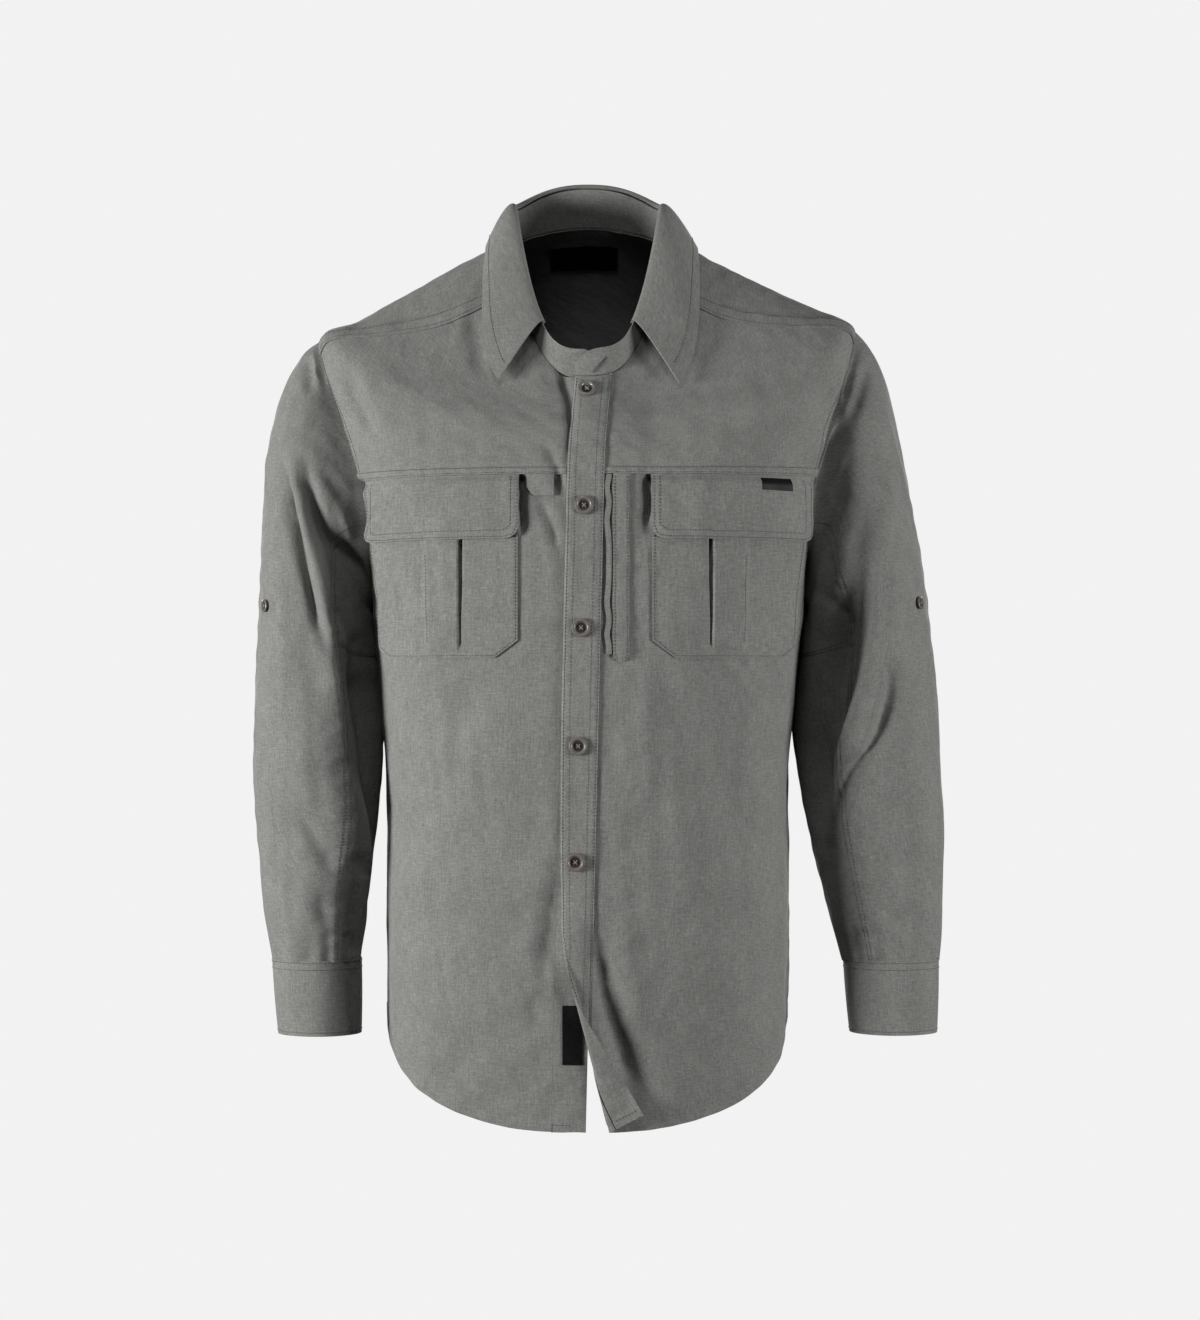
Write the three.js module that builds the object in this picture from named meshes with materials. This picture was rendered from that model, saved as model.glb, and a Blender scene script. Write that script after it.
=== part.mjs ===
// A long-sleeved work shirt, filled out as when it is worn, with no wearer.
// Millimetres, +Z up. The front faces -Y, and +X is the wearer's left.
// The origin is midway between the two side neck points, where the collar meets the shoulders.
import * as THREE from "three";

// Driving sizes of the cloth and the trims.
const CLOTH = 1.2; // one layer of shirting
const BAND = 1.6; // a folded band, such as a placket
const STAND = 2.2; // collar stand, two layers and an interlining
const LEAF = 2.0; // collar leaf
const SEAM = 0.4; // gap between two pieces along a seam
const LAYER = 0.7; // gap between a panel and what lies on it
const UNDER_PLACKET_LIFT = 2.5; // the upper placket clears the lower one by this offset
const EDGE_LIFT = 1.6; // the left front rises by this to meet its placket
const EDGE_LIFT_WIDTH = 42; // and is back on its own level this far out

const CHEST_SEAM = -220; // level of the seam across the chest
const ARMPIT = -340; // level of the armpit
const SHOULDER_TIP = -100; // level of the ring through both shoulder points
const NECK = 60; // level of the neck seam
const BACK_YOKE_STEP = 5; // armhole step where the back yoke seam starts
const FRONT_YOKE_STEP = 2; // armhole step where the front yoke seam starts
const ARMHOLE_STEPS = 28; // points round one armhole
const ARMHOLE_FRONT = 48; // half depth of the armhole to the front
const ARMHOLE_BACK = 46; // and to the back
const YOKE_NECK_ANGLE = 57; // where the front yoke seam meets the neck, in degrees from centre front
const SIDE_ANGLE = 90; // side seam
const LEAN = 0.02; // the left shoulder is this much of its width higher
const LEAN_WIDTH = 200; // distance from the middle at which the lean is in full
const TRUNK_DIP = { front: 2.8, back: 2 }; // exponent of a ring's height from its middle to its side

const PLACKET_IN = 17; // placket edge on the panel side of the button line
const UNDER_OUT = 14.5; // free edge of the under placket beyond the button line
const UNDER_IN = 16; // its panel side
const BUTTON_LINE_TOP = { x: -0.5, level: -144 };
const BUTTON_LINE_SLANT = 0.0236; // the button line drifts this much to the wearer's right for each mm down

const HEM_FRONT = -800; // hem at centre front
const HEM_SIDE = -704; // hem at the side seams
const HEM_BACK = -752; // hem at centre back
const HEM_RING = -750; // the ring whose outline spreads the hem's fall
const HEM_CURVE = { inner: 2.6, outer: 2.5 };

const radians = (degrees) => (degrees * Math.PI) / 180;
const mix = (a, b, share) => a + (b - a) * share;
const clamp = (value, low = 0, high = 1) => Math.min(high, Math.max(low, value));
const smooth = (value) => clamp(value) ** 2 * (3 - 2 * clamp(value));
const range = (count) => Array.from({ length: count }, (_, i) => i);
const spread = (low, high, count) => range(count).map((i) => mix(low, high, i / (count - 1)));

// Rings of the trunk from the hem to the neck. level orders them; z is given at the front, side and back.
// width, front and back are the half sizes from the axis; square is the exponent of the ring's outline.
const TRUNK = [
  { level: -810, zFront: -810, zSide: -810, zBack: -810, width: 176, front: 108, back: 136, square: 2.2 },
  { level: -700, zFront: -700, zSide: -700, zBack: -700, width: 182, front: 126, back: 147, square: 2.2 },
  { level: -600, zFront: -600, zSide: -600, zBack: -600, width: 183.3, front: 137, back: 153, square: 2.25 },
  { level: -490, zFront: -490, zSide: -490, zBack: -490, width: 182.5, front: 143, back: 158, square: 2.3 },
  { level: -400, zFront: -400, zSide: -400, zBack: -400, width: 188.5, front: 143, back: 159, square: 2.35 },
  { level: -340, zFront: -340, zSide: -340, zBack: -340, width: 194.5, front: 141, back: 158, square: 2.4 },
  { level: -280, zFront: -280, zSide: -280, zBack: -280, width: 202, front: 137, back: 155, square: 2.4 },
  { level: -220, zFront: -220, zSide: -220, zBack: -220, width: 213, front: 131, back: 148, square: 2.4 },
  { level: -165, zFront: -191, zSide: -162, zBack: -160, width: 230, front: 122, back: 140, square: 2.3 },
  { level: -100, zFront: -173, zSide: -86, zBack: -92, width: 243, front: 114, back: 128, square: 2.1 },
  { level: -60, zFront: -162, zSide: -67, zBack: -55, width: 207, front: 106, back: 115, square: 2.05 },
  { level: -20, zFront: -153, zSide: -45, zBack: -24, width: 162, front: 99, back: 98, square: 2 },
  { level: 20, zFront: -143, zSide: -21, zBack: 2, width: 117, front: 92, back: 80, square: 2 },
  { level: 60, zFront: -133, zSide: 0, zBack: 21, width: 76, front: 86, back: 62, square: 2 },
];

// A smooth curve through one column of a table, as a function of another column.
function curve(rows, key, column) {
  const at = rows.map((row) => row[key]);
  const to = rows.map((row) => row[column]);
  const last = at.length - 1;
  const slope = range(at.length).map((i) => {
    const before = Math.max(0, i - 1);
    const after = Math.min(last, i + 1);
    return (to[after] - to[before]) / (at[after] - at[before]);
  });
  return (value) => {
    const v = clamp(value, at[0], at[last]);
    let i = 0;
    while (i < last - 1 && v > at[i + 1]) i += 1;
    const span = at[i + 1] - at[i];
    const t = (v - at[i]) / span;
    const rise = to[i] * (1 + 2 * t) * (1 - t) ** 2 + to[i + 1] * t * t * (3 - 2 * t);
    return rise + span * (slope[i] * t * (1 - t) ** 2 - slope[i + 1] * t * t * (1 - t));
  };
}

const ring = Object.fromEntries(
  ["zFront", "zSide", "zBack", "width", "front", "back", "square"].map((name) => [
    name,
    curve(TRUNK, "level", name),
  ]),
);

// The polar angle from centre front at which a ring passes a given x, on the front half.
function angleAt(x, level) {
  const share = clamp(Math.abs(x) / ring.width(level), 0, 0.9999);
  const y = ring.front(level) * (1 - share ** ring.square(level)) ** (1 / ring.square(level));
  return (Math.atan2(x, y) * 180) / Math.PI;
}

// The cloth's inner surface: angle in degrees from centre front, positive to +X, and a level.
function trunkBase(angle, level) {
  const a = radians(angle);
  const n = ring.square(level);
  const width = ring.width(level);
  const depth = Math.cos(a) > 0 ? ring.front(level) : ring.back(level);
  const r = ((Math.abs(Math.sin(a)) / width) ** n + (Math.abs(Math.cos(a)) / depth) ** n) ** (-1 / n);
  const x = r * Math.sin(a);
  const share = Math.abs(x) / width;
  const zEnd = Math.cos(a) > 0 ? ring.zFront(level) : ring.zBack(level);
  const dip = Math.cos(a) > 0 ? TRUNK_DIP.front : TRUNK_DIP.back;
  const z = mix(zEnd, ring.zSide(level), share ** dip);
  const upper = smooth((level - ARMPIT) / (SHOULDER_TIP - ARMPIT));
  const lean = LEAN * x * upper * clamp(Math.abs(x) / LEAN_WIDTH);
  return new THREE.Vector3(x, -r * Math.cos(a), z + lean);
}

function trunkNormal(angle, level) {
  const step = 0.5;
  const low = Math.max(TRUNK[0].level, level - 2);
  const high = Math.min(NECK, level + 2);
  const round = trunkBase(angle + step, level).sub(trunkBase(angle - step, level));
  const up = trunkBase(angle, high).sub(trunkBase(angle, low));
  return round.cross(up).normalize();
}

function trunkPoint(angle, level, offset) {
  return trunkBase(angle, level).addScaledVector(trunkNormal(angle, level), offset);
}

// A closed wall between an inner and an outer grid of points, rows of columns.
function wall(inner, outer) {
  const rows = inner.length;
  const columns = inner[0].length;
  const position = [...inner, ...outer].flat().flatMap((p) => [p.x, p.y, p.z]);
  const near = (i, j) => i * columns + j;
  const far = (i, j) => (rows + i) * columns + j;
  const index = [];
  const quad = (a, b, c, d) => index.push(a, b, c, a, c, d);
  for (let i = 0; i < rows - 1; i += 1) {
    for (let j = 0; j < columns - 1; j += 1) {
      quad(far(i, j), far(i, j + 1), far(i + 1, j + 1), far(i + 1, j));
      quad(near(i, j), near(i + 1, j), near(i + 1, j + 1), near(i, j + 1));
    }
    quad(near(i, 0), far(i, 0), far(i + 1, 0), near(i + 1, 0));
    quad(far(i, columns - 1), near(i, columns - 1), near(i + 1, columns - 1), far(i + 1, columns - 1));
  }
  for (let j = 0; j < columns - 1; j += 1) {
    quad(near(0, j), near(0, j + 1), far(0, j + 1), far(0, j));
    quad(far(rows - 1, j), far(rows - 1, j + 1), near(rows - 1, j + 1), near(rows - 1, j));
  }
  const geometry = new THREE.BufferGeometry();
  geometry.setAttribute("position", new THREE.Float32BufferAttribute(position, 3));
  geometry.setIndex(index);
  geometry.computeVertexNormals();
  return geometry;
}

// A wall whose point (i, j, offset) is given by a function; rows run upwards and columns towards +X.
function panel(rows, columns, low, high, point) {
  const grid = (offset) =>
    range(rows).map((i) => range(columns).map((j) => point(i, j, offset)));
  return wall(grid(low), grid(high));
}

const group = new THREE.Group();
const CHARCOAL_SHIRTING = new THREE.MeshStandardMaterial({ color: "#6f706d", roughness: 0.9 });
const DARK_LINING = new THREE.MeshStandardMaterial({ color: "#2b2b2c", roughness: 0.9 });
const BUTTON_RESIN = new THREE.MeshStandardMaterial({ color: "#4d4a48", roughness: 0.45 });
const LABEL_SATIN = new THREE.MeshStandardMaterial({ color: "#161616", roughness: 0.6 });

function add(name, geometry, material = CHARCOAL_SHIRTING) {
  const mesh = new THREE.Mesh(geometry, material);
  mesh.name = name;
  group.add(mesh);
  return mesh;
}

const buttonLine = (level) =>
  BUTTON_LINE_TOP.x - BUTTON_LINE_SLANT * (BUTTON_LINE_TOP.level - level);

// How far the upper placket's free edge stands beyond the button line.
const PLACKET_EDGE = [
  { level: -800, out: 10 },
  { level: -640, out: 10.5 },
  { level: -560, out: 13 },
  { level: -440, out: 15.2 },
  { level: -144, out: 15.5 },
];
const placketOut = curve(PLACKET_EDGE, "level", "out");

// The level at which the front passes a given height near its middle.
function levelAt(x, z) {
  let [low, high] = [HEM_FRONT, NECK];
  for (let i = 0; i < 40; i += 1) {
    const middle = (low + high) / 2;
    if (trunkBase(angleAt(x, middle), middle).z < z) low = middle;
    else high = middle;
  }
  return (low + high) / 2;
}

// The level of the hem at an angle from centre front.
function hem(angle) {
  const share = clamp(Math.abs(trunkBase(angle, HEM_RING).x) / ring.width(HEM_RING));
  const fall = (1 - share ** HEM_CURVE.inner) ** (1 / HEM_CURVE.outer);
  const lowest = Math.cos(radians(angle)) > 0 ? HEM_FRONT : HEM_BACK;
  return mix(HEM_SIDE, lowest, fall);
}

// The armhole: step 0 is the shoulder point, steps to 16 run down the front, and negative steps down the back.
const armholeLevel = (step) =>
  mix(ARMPIT, SHOULDER_TIP, (1 + Math.cos((2 * Math.PI * step) / ARMHOLE_STEPS)) / 2);

function armholeAngle(step) {
  const level = armholeLevel(step);
  const turn = Math.sin((2 * Math.PI * step) / ARMHOLE_STEPS);
  const half = turn > 0 ? ARMHOLE_FRONT : ARMHOLE_BACK;
  const depth = turn > 0 ? ring.front(level) : ring.back(level);
  const n = ring.square(level);
  const x = ring.width(level) * (1 - Math.abs((half * turn) / depth) ** n) ** (1 / n);
  return (Math.atan2(x, half * turn) * 180) / Math.PI;
}

const armhole = range(ARMHOLE_STEPS + 1).map((i) => i - ARMHOLE_STEPS / 2);
const GAP_ANGLE = 0.3; // half a seam gap, as an angle at the side of the trunk

// The front's outer edge at a level: the side seam, the armhole, then the yoke seam.
const FRONT_EDGE = armhole
  .filter((step) => step >= FRONT_YOKE_STEP)
  .map((step) => ({ level: armholeLevel(step), angle: armholeAngle(step) - GAP_ANGLE }))
  .sort((a, b) => a.level - b.level);
const BACK_EDGE = armhole
  .filter((step) => step <= -BACK_YOKE_STEP)
  .map((step) => ({ level: armholeLevel(step), angle: armholeAngle(step) + GAP_ANGLE }))
  .sort((a, b) => a.level - b.level);

function edgeAngle(edge, level) {
  if (level <= edge[0].level) return edge[0].angle;
  const next = edge.findIndex((p) => p.level >= level - 1e-6);
  if (next < 1) return edge.at(-1).angle;
  const [a, b] = [edge[next - 1], edge[next]];
  return mix(a.angle, b.angle, (level - a.level) / (b.level - a.level));
}

const yokeStart = { angle: armholeAngle(FRONT_YOKE_STEP), level: armholeLevel(FRONT_YOKE_STEP) };
const yokeSeamAngle = (level) =>
  mix(YOKE_NECK_ANGLE, yokeStart.angle, (NECK - level) / (NECK - yokeStart.level));

// Where the left front's lower corner is turned back outwards: a fold line in x and level, and its roll.
const TURN = { topX: -36.9, topLevel: -560, endX: 24.3, endLevel: -800, radius: 6.8 };
const turnRun = { x: TURN.endX - TURN.topX, z: TURN.endLevel - TURN.topLevel };
const turnLength = Math.hypot(turnRun.x, turnRun.z);
const turnAlong = { x: turnRun.x / turnLength, z: turnRun.z / turnLength };

// The place of a point of the left front: x and level before the corner is turned, and an offset.
function leftFront(x, level, offset) {
  const edge = buttonLine(level) + PLACKET_IN;
  const lift = EDGE_LIFT * (1 - smooth((x - edge) / EDGE_LIFT_WIDTH));
  const rise = x > edge - 0.01 ? offset + lift : offset;
  const dx = x - TURN.topX;
  const dz = level - TURN.topLevel;
  const along = dx * turnAlong.x + dz * turnAlong.z;
  const past = dx * turnAlong.z - dz * turnAlong.x; // distance past the fold, towards the free edge
  if (past <= 0) return frontPoint(x, level, rise);
  const turn = Math.min(past / TURN.radius, Math.PI);
  const rest = Math.max(0, past - Math.PI * TURN.radius);
  const arm = TURN.radius - rise;
  const across = arm * Math.sin(turn) - rest;
  const height = TURN.radius - arm * Math.cos(turn);
  const newX = TURN.topX + along * turnAlong.x + across * turnAlong.z;
  const newLevel = TURN.topLevel + along * turnAlong.z - across * turnAlong.x;
  return frontPoint(newX, newLevel, height);
}

function frontPoint(x, level, offset) {
  return trunkPoint(angleAt(x, level), level, offset);
}

// A point on one front, x being its distance to that side of the middle.
function onFront(side, x, level, offset) {
  return side > 0 ? leftFront(x, level, offset) : frontPoint(-x, level, offset);
}

// Columns of a front panel below the chest seam: straight lines out to the pocket's far edge, then a fan.
const NEAR_SHARES = [0, 0.1, 0.22, 0.35, 0.5, 0.75];
const POCKET_LINES = [56.5, 70, 86, 107.5, 109, 125, 141, 142.5, 158, 175, 192];
const FAR_SHARES = [0.4, 0.75, 1];
const POCKET_SHIFT = { left: 0, right: 5 }; // the right pocket sits a little further out
const POCKET_RING = -280; // below this level the outer lines close in as the trunk does
const POCKET_TAPER = { from: 110, width: 60 }; // lines further out than this close in, in full after the width

// One line of a pocket as a function of the level.
function pocketLine(side, line) {
  const shift = side > 0 ? POCKET_SHIFT.left : POCKET_SHIFT.right;
  const x = line + shift * (1 - line / (2 * POCKET_LINES.at(-1)));
  return (level) => {
    const taper = Math.min(1, ring.width(level) / ring.width(POCKET_RING));
    return x * mix(1, taper, smooth((line - POCKET_TAPER.from) / POCKET_TAPER.width));
  };
}

const pocketLines = (side) => POCKET_LINES.map((line) => pocketLine(side, line));

// The x of a front's edge beside its placket, as distance from the middle.
function innerEdge(side, level) {
  return side > 0 ? buttonLine(level) + PLACKET_IN + SEAM : UNDER_IN + SEAM - buttonLine(level);
}

function frontColumns(side) {
  const edge = (level) => innerEdge(side, level);
  const across = pocketLines(side);
  const near = NEAR_SHARES.map((share) => (level) => ({
    x: mix(edge(level), across[0](level), share),
  }));
  const lines = across.map((line) => (level) => ({ x: line(level) }));
  const far = FAR_SHARES.map((share) => () => ({ toSide: share }));
  return [...near, ...lines, ...far];
}

const LOWER_SHARES = [0, 0.045, 0.09, 0.135, 0.185, 0.235, 0.29, 0.36, 0.48, 0.63, 0.8, 1];
const armholeLevelsBelowSeam = range(ARMHOLE_STEPS / 4 + 1)
  .map((i) => armholeLevel(ARMHOLE_STEPS / 2 - i));

function frontLower(side) {
  const columns = frontColumns(side);
  const pocketEdge = pocketLines(side).at(-1);
  const rows = LOWER_SHARES.length - 1 + armholeLevelsBelowSeam.length;
  const place = (i, j, offset) => {
    const isLower = i < LOWER_SHARES.length - 1;
    const at = isLower ? ARMPIT : armholeLevelsBelowSeam[i - LOWER_SHARES.length + 1];
    const share = isLower ? 1 - LOWER_SHARES[i] : 0;
    const level0 = i === rows - 1 ? at - SEAM / 2 : at;
    const column = columns[j];
    const spot = column(level0);
    const outer = angleAt(pocketEdge(level0), level0);
    const sideAngle = i === 0 ? SIDE_ANGLE - GAP_ANGLE : edgeAngle(FRONT_EDGE, level0);
    const angle = spot.x === undefined ? mix(outer, sideAngle, spot.toSide) : angleAt(spot.x, level0);
    const level = mix(level0, hem(angle), share);
    if (spot.x === undefined) {
      const outerHere = angleAt(pocketEdge(level), level);
      const edge = level < ARMPIT ? SIDE_ANGLE - GAP_ANGLE : sideAngle;
      return trunkPoint(side * mix(outerHere, edge, spot.toSide), level, offset);
    }
    return onFront(side, column(level).x, level, offset);
  };
  return panel(rows, columns.length, 0, CLOTH, (i, j, offset) =>
    place(i, side > 0 ? j : columns.length - 1 - j, offset));
}

const SHOULDER_LEVELS = [-80, -50, -20, 10, 35];
const UPPER_LEVELS = [
  ...range(ARMHOLE_STEPS / 4 - FRONT_YOKE_STEP + 1).map((i) => armholeLevel(ARMHOLE_STEPS / 4 - i)),
  ...SHOULDER_LEVELS,
  NECK,
];
const UPPER_SPREAD = 1.15; // columns of an upper front stand closer near its placket

function frontUpper(side) {
  const count = 11;
  const place = (i, j, offset) => {
    const level = i === 0 ? UPPER_LEVELS[i] + SEAM / 2 : UPPER_LEVELS[i];
    const inner = innerEdge(side, level);
    const start = angleAt(inner, level);
    const isArmhole = level < yokeStart.level - 1;
    const end = isArmhole ? edgeAngle(FRONT_EDGE, level) : yokeSeamAngle(level) - GAP_ANGLE;
    const angle = mix(start, end, (j / (count - 1)) ** UPPER_SPREAD);
    if (side < 0) return trunkPoint(-angle, level, offset);
    const x = trunkBase(angle, level).x;
    const edgeLift = EDGE_LIFT * (1 - smooth((x - inner) / EDGE_LIFT_WIDTH));
    return trunkPoint(angle, level, offset + edgeLift);
  };
  return panel(UPPER_LEVELS.length, count, 0, CLOTH, (i, j, offset) =>
    place(i, side > 0 ? j : count - 1 - j, offset));
}

// The two bands down the front. Their rows share the levels of the fronts beside them.
const BAND_LEVELS = [
  ...LOWER_SHARES.map((share) => mix(HEM_FRONT, ARMPIT, share)),
  ...armholeLevelsBelowSeam.slice(1),
  ...UPPER_LEVELS.slice(1, -1),
  NECK - 1,
];

function upperPlacket() {
  const count = 8;
  const low = UNDER_PLACKET_LIFT;
  return panel(BAND_LEVELS.length, count, low, low + BAND, (i, j, offset) => {
    const level = BAND_LEVELS[i];
    const line = buttonLine(level);
    const x = mix(line - placketOut(level), line + PLACKET_IN, j / (count - 1));
    return leftFront(x, level, offset);
  });
}

function underPlacket() {
  const count = 4;
  return panel(BAND_LEVELS.length, count, 0, CLOTH, (i, j, offset) => {
    const level = BAND_LEVELS[i];
    const line = buttonLine(level);
    const x = mix(line - UNDER_IN, line + UNDER_OUT, j / (count - 1));
    return frontPoint(x, level, offset);
  });
}

// The back panel, from the hem to the back yoke seam.
const BACK_TOP = armholeLevel(BACK_YOKE_STEP);
const backLevels = range(ARMHOLE_STEPS / 2 - BACK_YOKE_STEP + 1)
  .map((i) => armholeLevel(ARMHOLE_STEPS / 2 - i));
const BACK_SHARES = [0, 0.12, 0.32, 0.54, 0.78, 1];

function backPanel() {
  const count = 23;
  const rows = BACK_SHARES.length - 1 + backLevels.length;
  return panel(rows, count, 0, CLOTH, (i, j, offset) => {
    const isLower = i < BACK_SHARES.length - 1;
    const level0 = isLower ? ARMPIT : backLevels[i - BACK_SHARES.length + 1];
    const share = isLower ? 1 - BACK_SHARES[i] : 0;
    const edge = isLower ? SIDE_ANGLE + GAP_ANGLE : edgeAngle(BACK_EDGE, level0);
    const angle = mix(edge, 360 - edge, j / (count - 1));
    const top = i === rows - 1 ? level0 - SEAM / 2 : level0;
    return trunkPoint(angle, mix(top, hem(angle), share), offset);
  });
}

// The yoke: each column is a straight line in angle and level from the neck to the armhole or the back seam.
const YOKE_NECK_ANGLES = [57, 68, 80, 92, 103, 114, 125];
const ARMHOLE_CLEAR = 1.1; // the yoke stops this far above the armhole's points
const YOKE_BACK = [
  { neck: 136, out: 107 },
  { neck: 143, out: 118 },
  { neck: 151, out: 132 },
  { neck: 160, out: 147 },
  { neck: 170, out: 163 },
];
const yokeHalf = [
  ...YOKE_NECK_ANGLES.map((neck, i) => ({
    neck: i === 0 ? neck + GAP_ANGLE : neck,
    out: armholeAngle(FRONT_YOKE_STEP - i),
    level: armholeLevel(FRONT_YOKE_STEP - i) + ARMHOLE_CLEAR,
  })),
  ...YOKE_BACK.map(({ neck, out }) => ({ neck, out, level: BACK_TOP + SEAM / 2 })),
];
yokeHalf[0].out += GAP_ANGLE;
const yokeColumns = [
  ...yokeHalf,
  { neck: 180, out: 180, level: BACK_TOP + SEAM / 2 },
  ...yokeHalf.map(({ neck, out, level }) => ({ neck: 360 - neck, out: 360 - out, level })).reverse(),
];
const yokeShares = UPPER_LEVELS.slice(ARMHOLE_STEPS / 4 - FRONT_YOKE_STEP)
  .map((level) => (NECK - level) / (NECK - yokeStart.level));

function yoke() {
  return panel(yokeShares.length, yokeColumns.length, 0, CLOTH, (i, j, offset) => {
    const { neck, out, level } = yokeColumns[j];
    return trunkPoint(mix(neck, out, yokeShares[i]), mix(NECK, level, yokeShares[i]), offset);
  });
}

// The dark inner yoke that shows through the neck, inside the back half of the yoke.
const LINING = { gap: 0.7, from: 112, to: 248, outFrom: 105, outTo: 255 };

function yokeLining() {
  const columns = yokeColumns.filter(({ neck, out }) =>
    neck > LINING.from && neck < LINING.to && out > LINING.outFrom && out < LINING.outTo);
  return panel(yokeShares.length, columns.length, -LINING.gap - CLOTH, -LINING.gap, (i, j, offset) => {
    const { neck, out, level } = columns[j];
    return trunkPoint(mix(neck, out, yokeShares[i]), mix(NECK, level, yokeShares[i]), offset);
  });
}

// The collar stand: a band from the neck seam up to the fold, open at the front with its ends lapped.
const FOLD = {
  width: 65.5,
  front: 88,
  back: 56,
  zFront: -107,
  zSide: 30,
  zBack: 56,
  dipFront: 3.4,
  dipBack: 2.4,
  squareFront: 2,
  squareBack: 2.6,
};
const STAND_END = { left: 8.5, right: 7 }; // how far each end passes centre front, in degrees
const STAND_LAP = { out: 3.4, from: 140, width: 30 }; // the left end moves out by this, over these degrees
const STAND_GAP = 0.7; // between the stand's foot and the neck edge
const STAND_LEAN = { out: 0.96, up: 0.28, reach: 2.5 }; // its thickness direction away from the neck seam
const STAND_ROUND = { drop: 0.35, angle: 9 }; // share by which its two ends come down, over these degrees

function foldPoint(angle) {
  const a = radians(angle);
  const depth = Math.cos(a) > 0 ? FOLD.front : FOLD.back;
  const n = Math.cos(a) > 0 ? FOLD.squareFront : FOLD.squareBack;
  const r = ((Math.abs(Math.sin(a)) / FOLD.width) ** n + (Math.abs(Math.cos(a)) / depth) ** n) ** (-1 / n);
  const x = r * Math.sin(a);
  const zEnd = Math.cos(a) > 0 ? FOLD.zFront : FOLD.zBack;
  const dip = Math.cos(a) > 0 ? FOLD.dipFront : FOLD.dipBack;
  const z = mix(zEnd, FOLD.zSide, (Math.abs(x) / FOLD.width) ** dip);
  return new THREE.Vector3(x, -r * Math.cos(a), z);
}

const outward = (angle) => new THREE.Vector3(Math.sin(radians(angle)), -Math.cos(radians(angle)), 0);
const standLap = (turn) => STAND_LAP.out * smooth((turn - STAND_LAP.from) / STAND_LAP.width);

// turn runs from -180 at the right front through 0 at centre back to 180 at the left front.
function standPoint(turn, share, offset) {
  const angle = 180 - turn;
  const base = trunkBase(angle, NECK);
  const up = base.clone().sub(trunkBase(angle, NECK - 4)).normalize();
  const point = base.addScaledVector(up, STAND_GAP).lerp(foldPoint(angle), share);
  const lean = outward(angle).multiplyScalar(STAND_LEAN.out);
  lean.z = STAND_LEAN.up;
  const across = trunkNormal(angle, NECK).lerp(lean, smooth(share * STAND_LEAN.reach)).normalize();
  return point.addScaledVector(across, offset + standLap(turn));
}

function collarStand() {
  const turns = spread(-180 - STAND_END.right, 180 + STAND_END.left, 41);
  const rows = 5;
  return panel(rows, turns.length, 0, STAND, (i, j, offset) => {
    const share = i / (rows - 1);
    const turn = turns[turns.length - 1 - j];
    const toEnd = Math.min(turn + 180 + STAND_END.right, 180 + STAND_END.left - turn);
    const round = 1 - STAND_ROUND.drop * (1 - smooth(toEnd / STAND_ROUND.angle)) * share;
    return standPoint(turn, share * round, offset);
  });
}

// The collar leaf: rolls over the stand's top and falls to an edge that lies on the yoke and the fronts.
const LEAF_ROWS = [
  { turn: 0, fold: 180, edge: 180, level: 47, lift: 4 },
  { turn: 0.3, fold: 136, edge: 136, level: 46, lift: 4 },
  { turn: 0.5, fold: 100, edge: 100, level: 45, lift: 4 },
  { turn: 0.64, fold: 78, edge: 80, level: 40, lift: 4 },
  { turn: 0.78, fold: 56, edge: 65, level: 26, lift: 5 },
  { turn: 0.9, fold: 40, edge: 52, level: 0, lift: 6 },
  { turn: 1, fold: 29, edge: 42.5, level: -24, lift: 7 },
];
const leaf = Object.fromEntries(
  ["fold", "edge", "level", "lift"].map((name) => [name, curve(LEAF_ROWS, "turn", name)]),
);

const LEAF_GAP = 1.5; // between the stand's top and the leaf
const LEAF_SLIP = { down: 4, turn: 0.4 }; // the left half lies this much lower, in full from this turn on
const LEAF_ROLL = { out: 2.5, up: 7 }; // how the leaf leaves its fold
const LEAF_FALL = { out: 10, up: 2, towards: 0.22 }; // and how it starts to come down

function leafPoint(turn, share, offset) {
  const t = Math.abs(turn);
  const side = Math.sign(turn) || 1;
  const foldAngle = leaf.fold(t);
  const out = outward(foldAngle);
  const top = foldPoint(foldAngle).addScaledVector(out, STAND * 0.5);
  top.addScaledVector(out, side > 0 ? standLap(180 - foldAngle) : 0);
  top.z += LEAF_GAP;
  const slip = side * LEAF_SLIP.down * smooth(t / LEAF_SLIP.turn);
  const end = trunkPoint(leaf.edge(t), leaf.level(t) - slip, leaf.lift(t));
  const rise = top.clone().addScaledVector(out, LEAF_ROLL.out);
  rise.z += LEAF_ROLL.up;
  const over = top.clone().addScaledVector(out, LEAF_FALL.out).lerp(end, LEAF_FALL.towards);
  over.z += LEAF_FALL.up;
  const point = new THREE.CubicBezierCurve3(top, rise, over, end).getPoint(share);
  point.x *= side;
  if (offset === 0) return point;
  const near = 0.02;
  const shape = (u, s) => leafPoint(side * clamp(u), clamp(s), 0);
  const round = shape(t + near, share).sub(shape(t - near, share));
  const down = shape(t, share + near).sub(shape(t, share - near));
  const normal = side > 0 ? round.cross(down) : down.cross(round);
  return point.addScaledVector(normal.normalize(), offset);
}

const LEAF_SHARES = [0, 0.08, 0.18, 0.3, 0.5, 0.75, 1];

function collarLeaf() {
  const turns = spread(-1, 1, 35);
  return panel(LEAF_SHARES.length, turns.length, 0, LEAF, (i, j, offset) =>
    leafPoint(turns[turns.length - 1 - j], LEAF_SHARES[LEAF_SHARES.length - 1 - i], offset));
}

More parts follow.
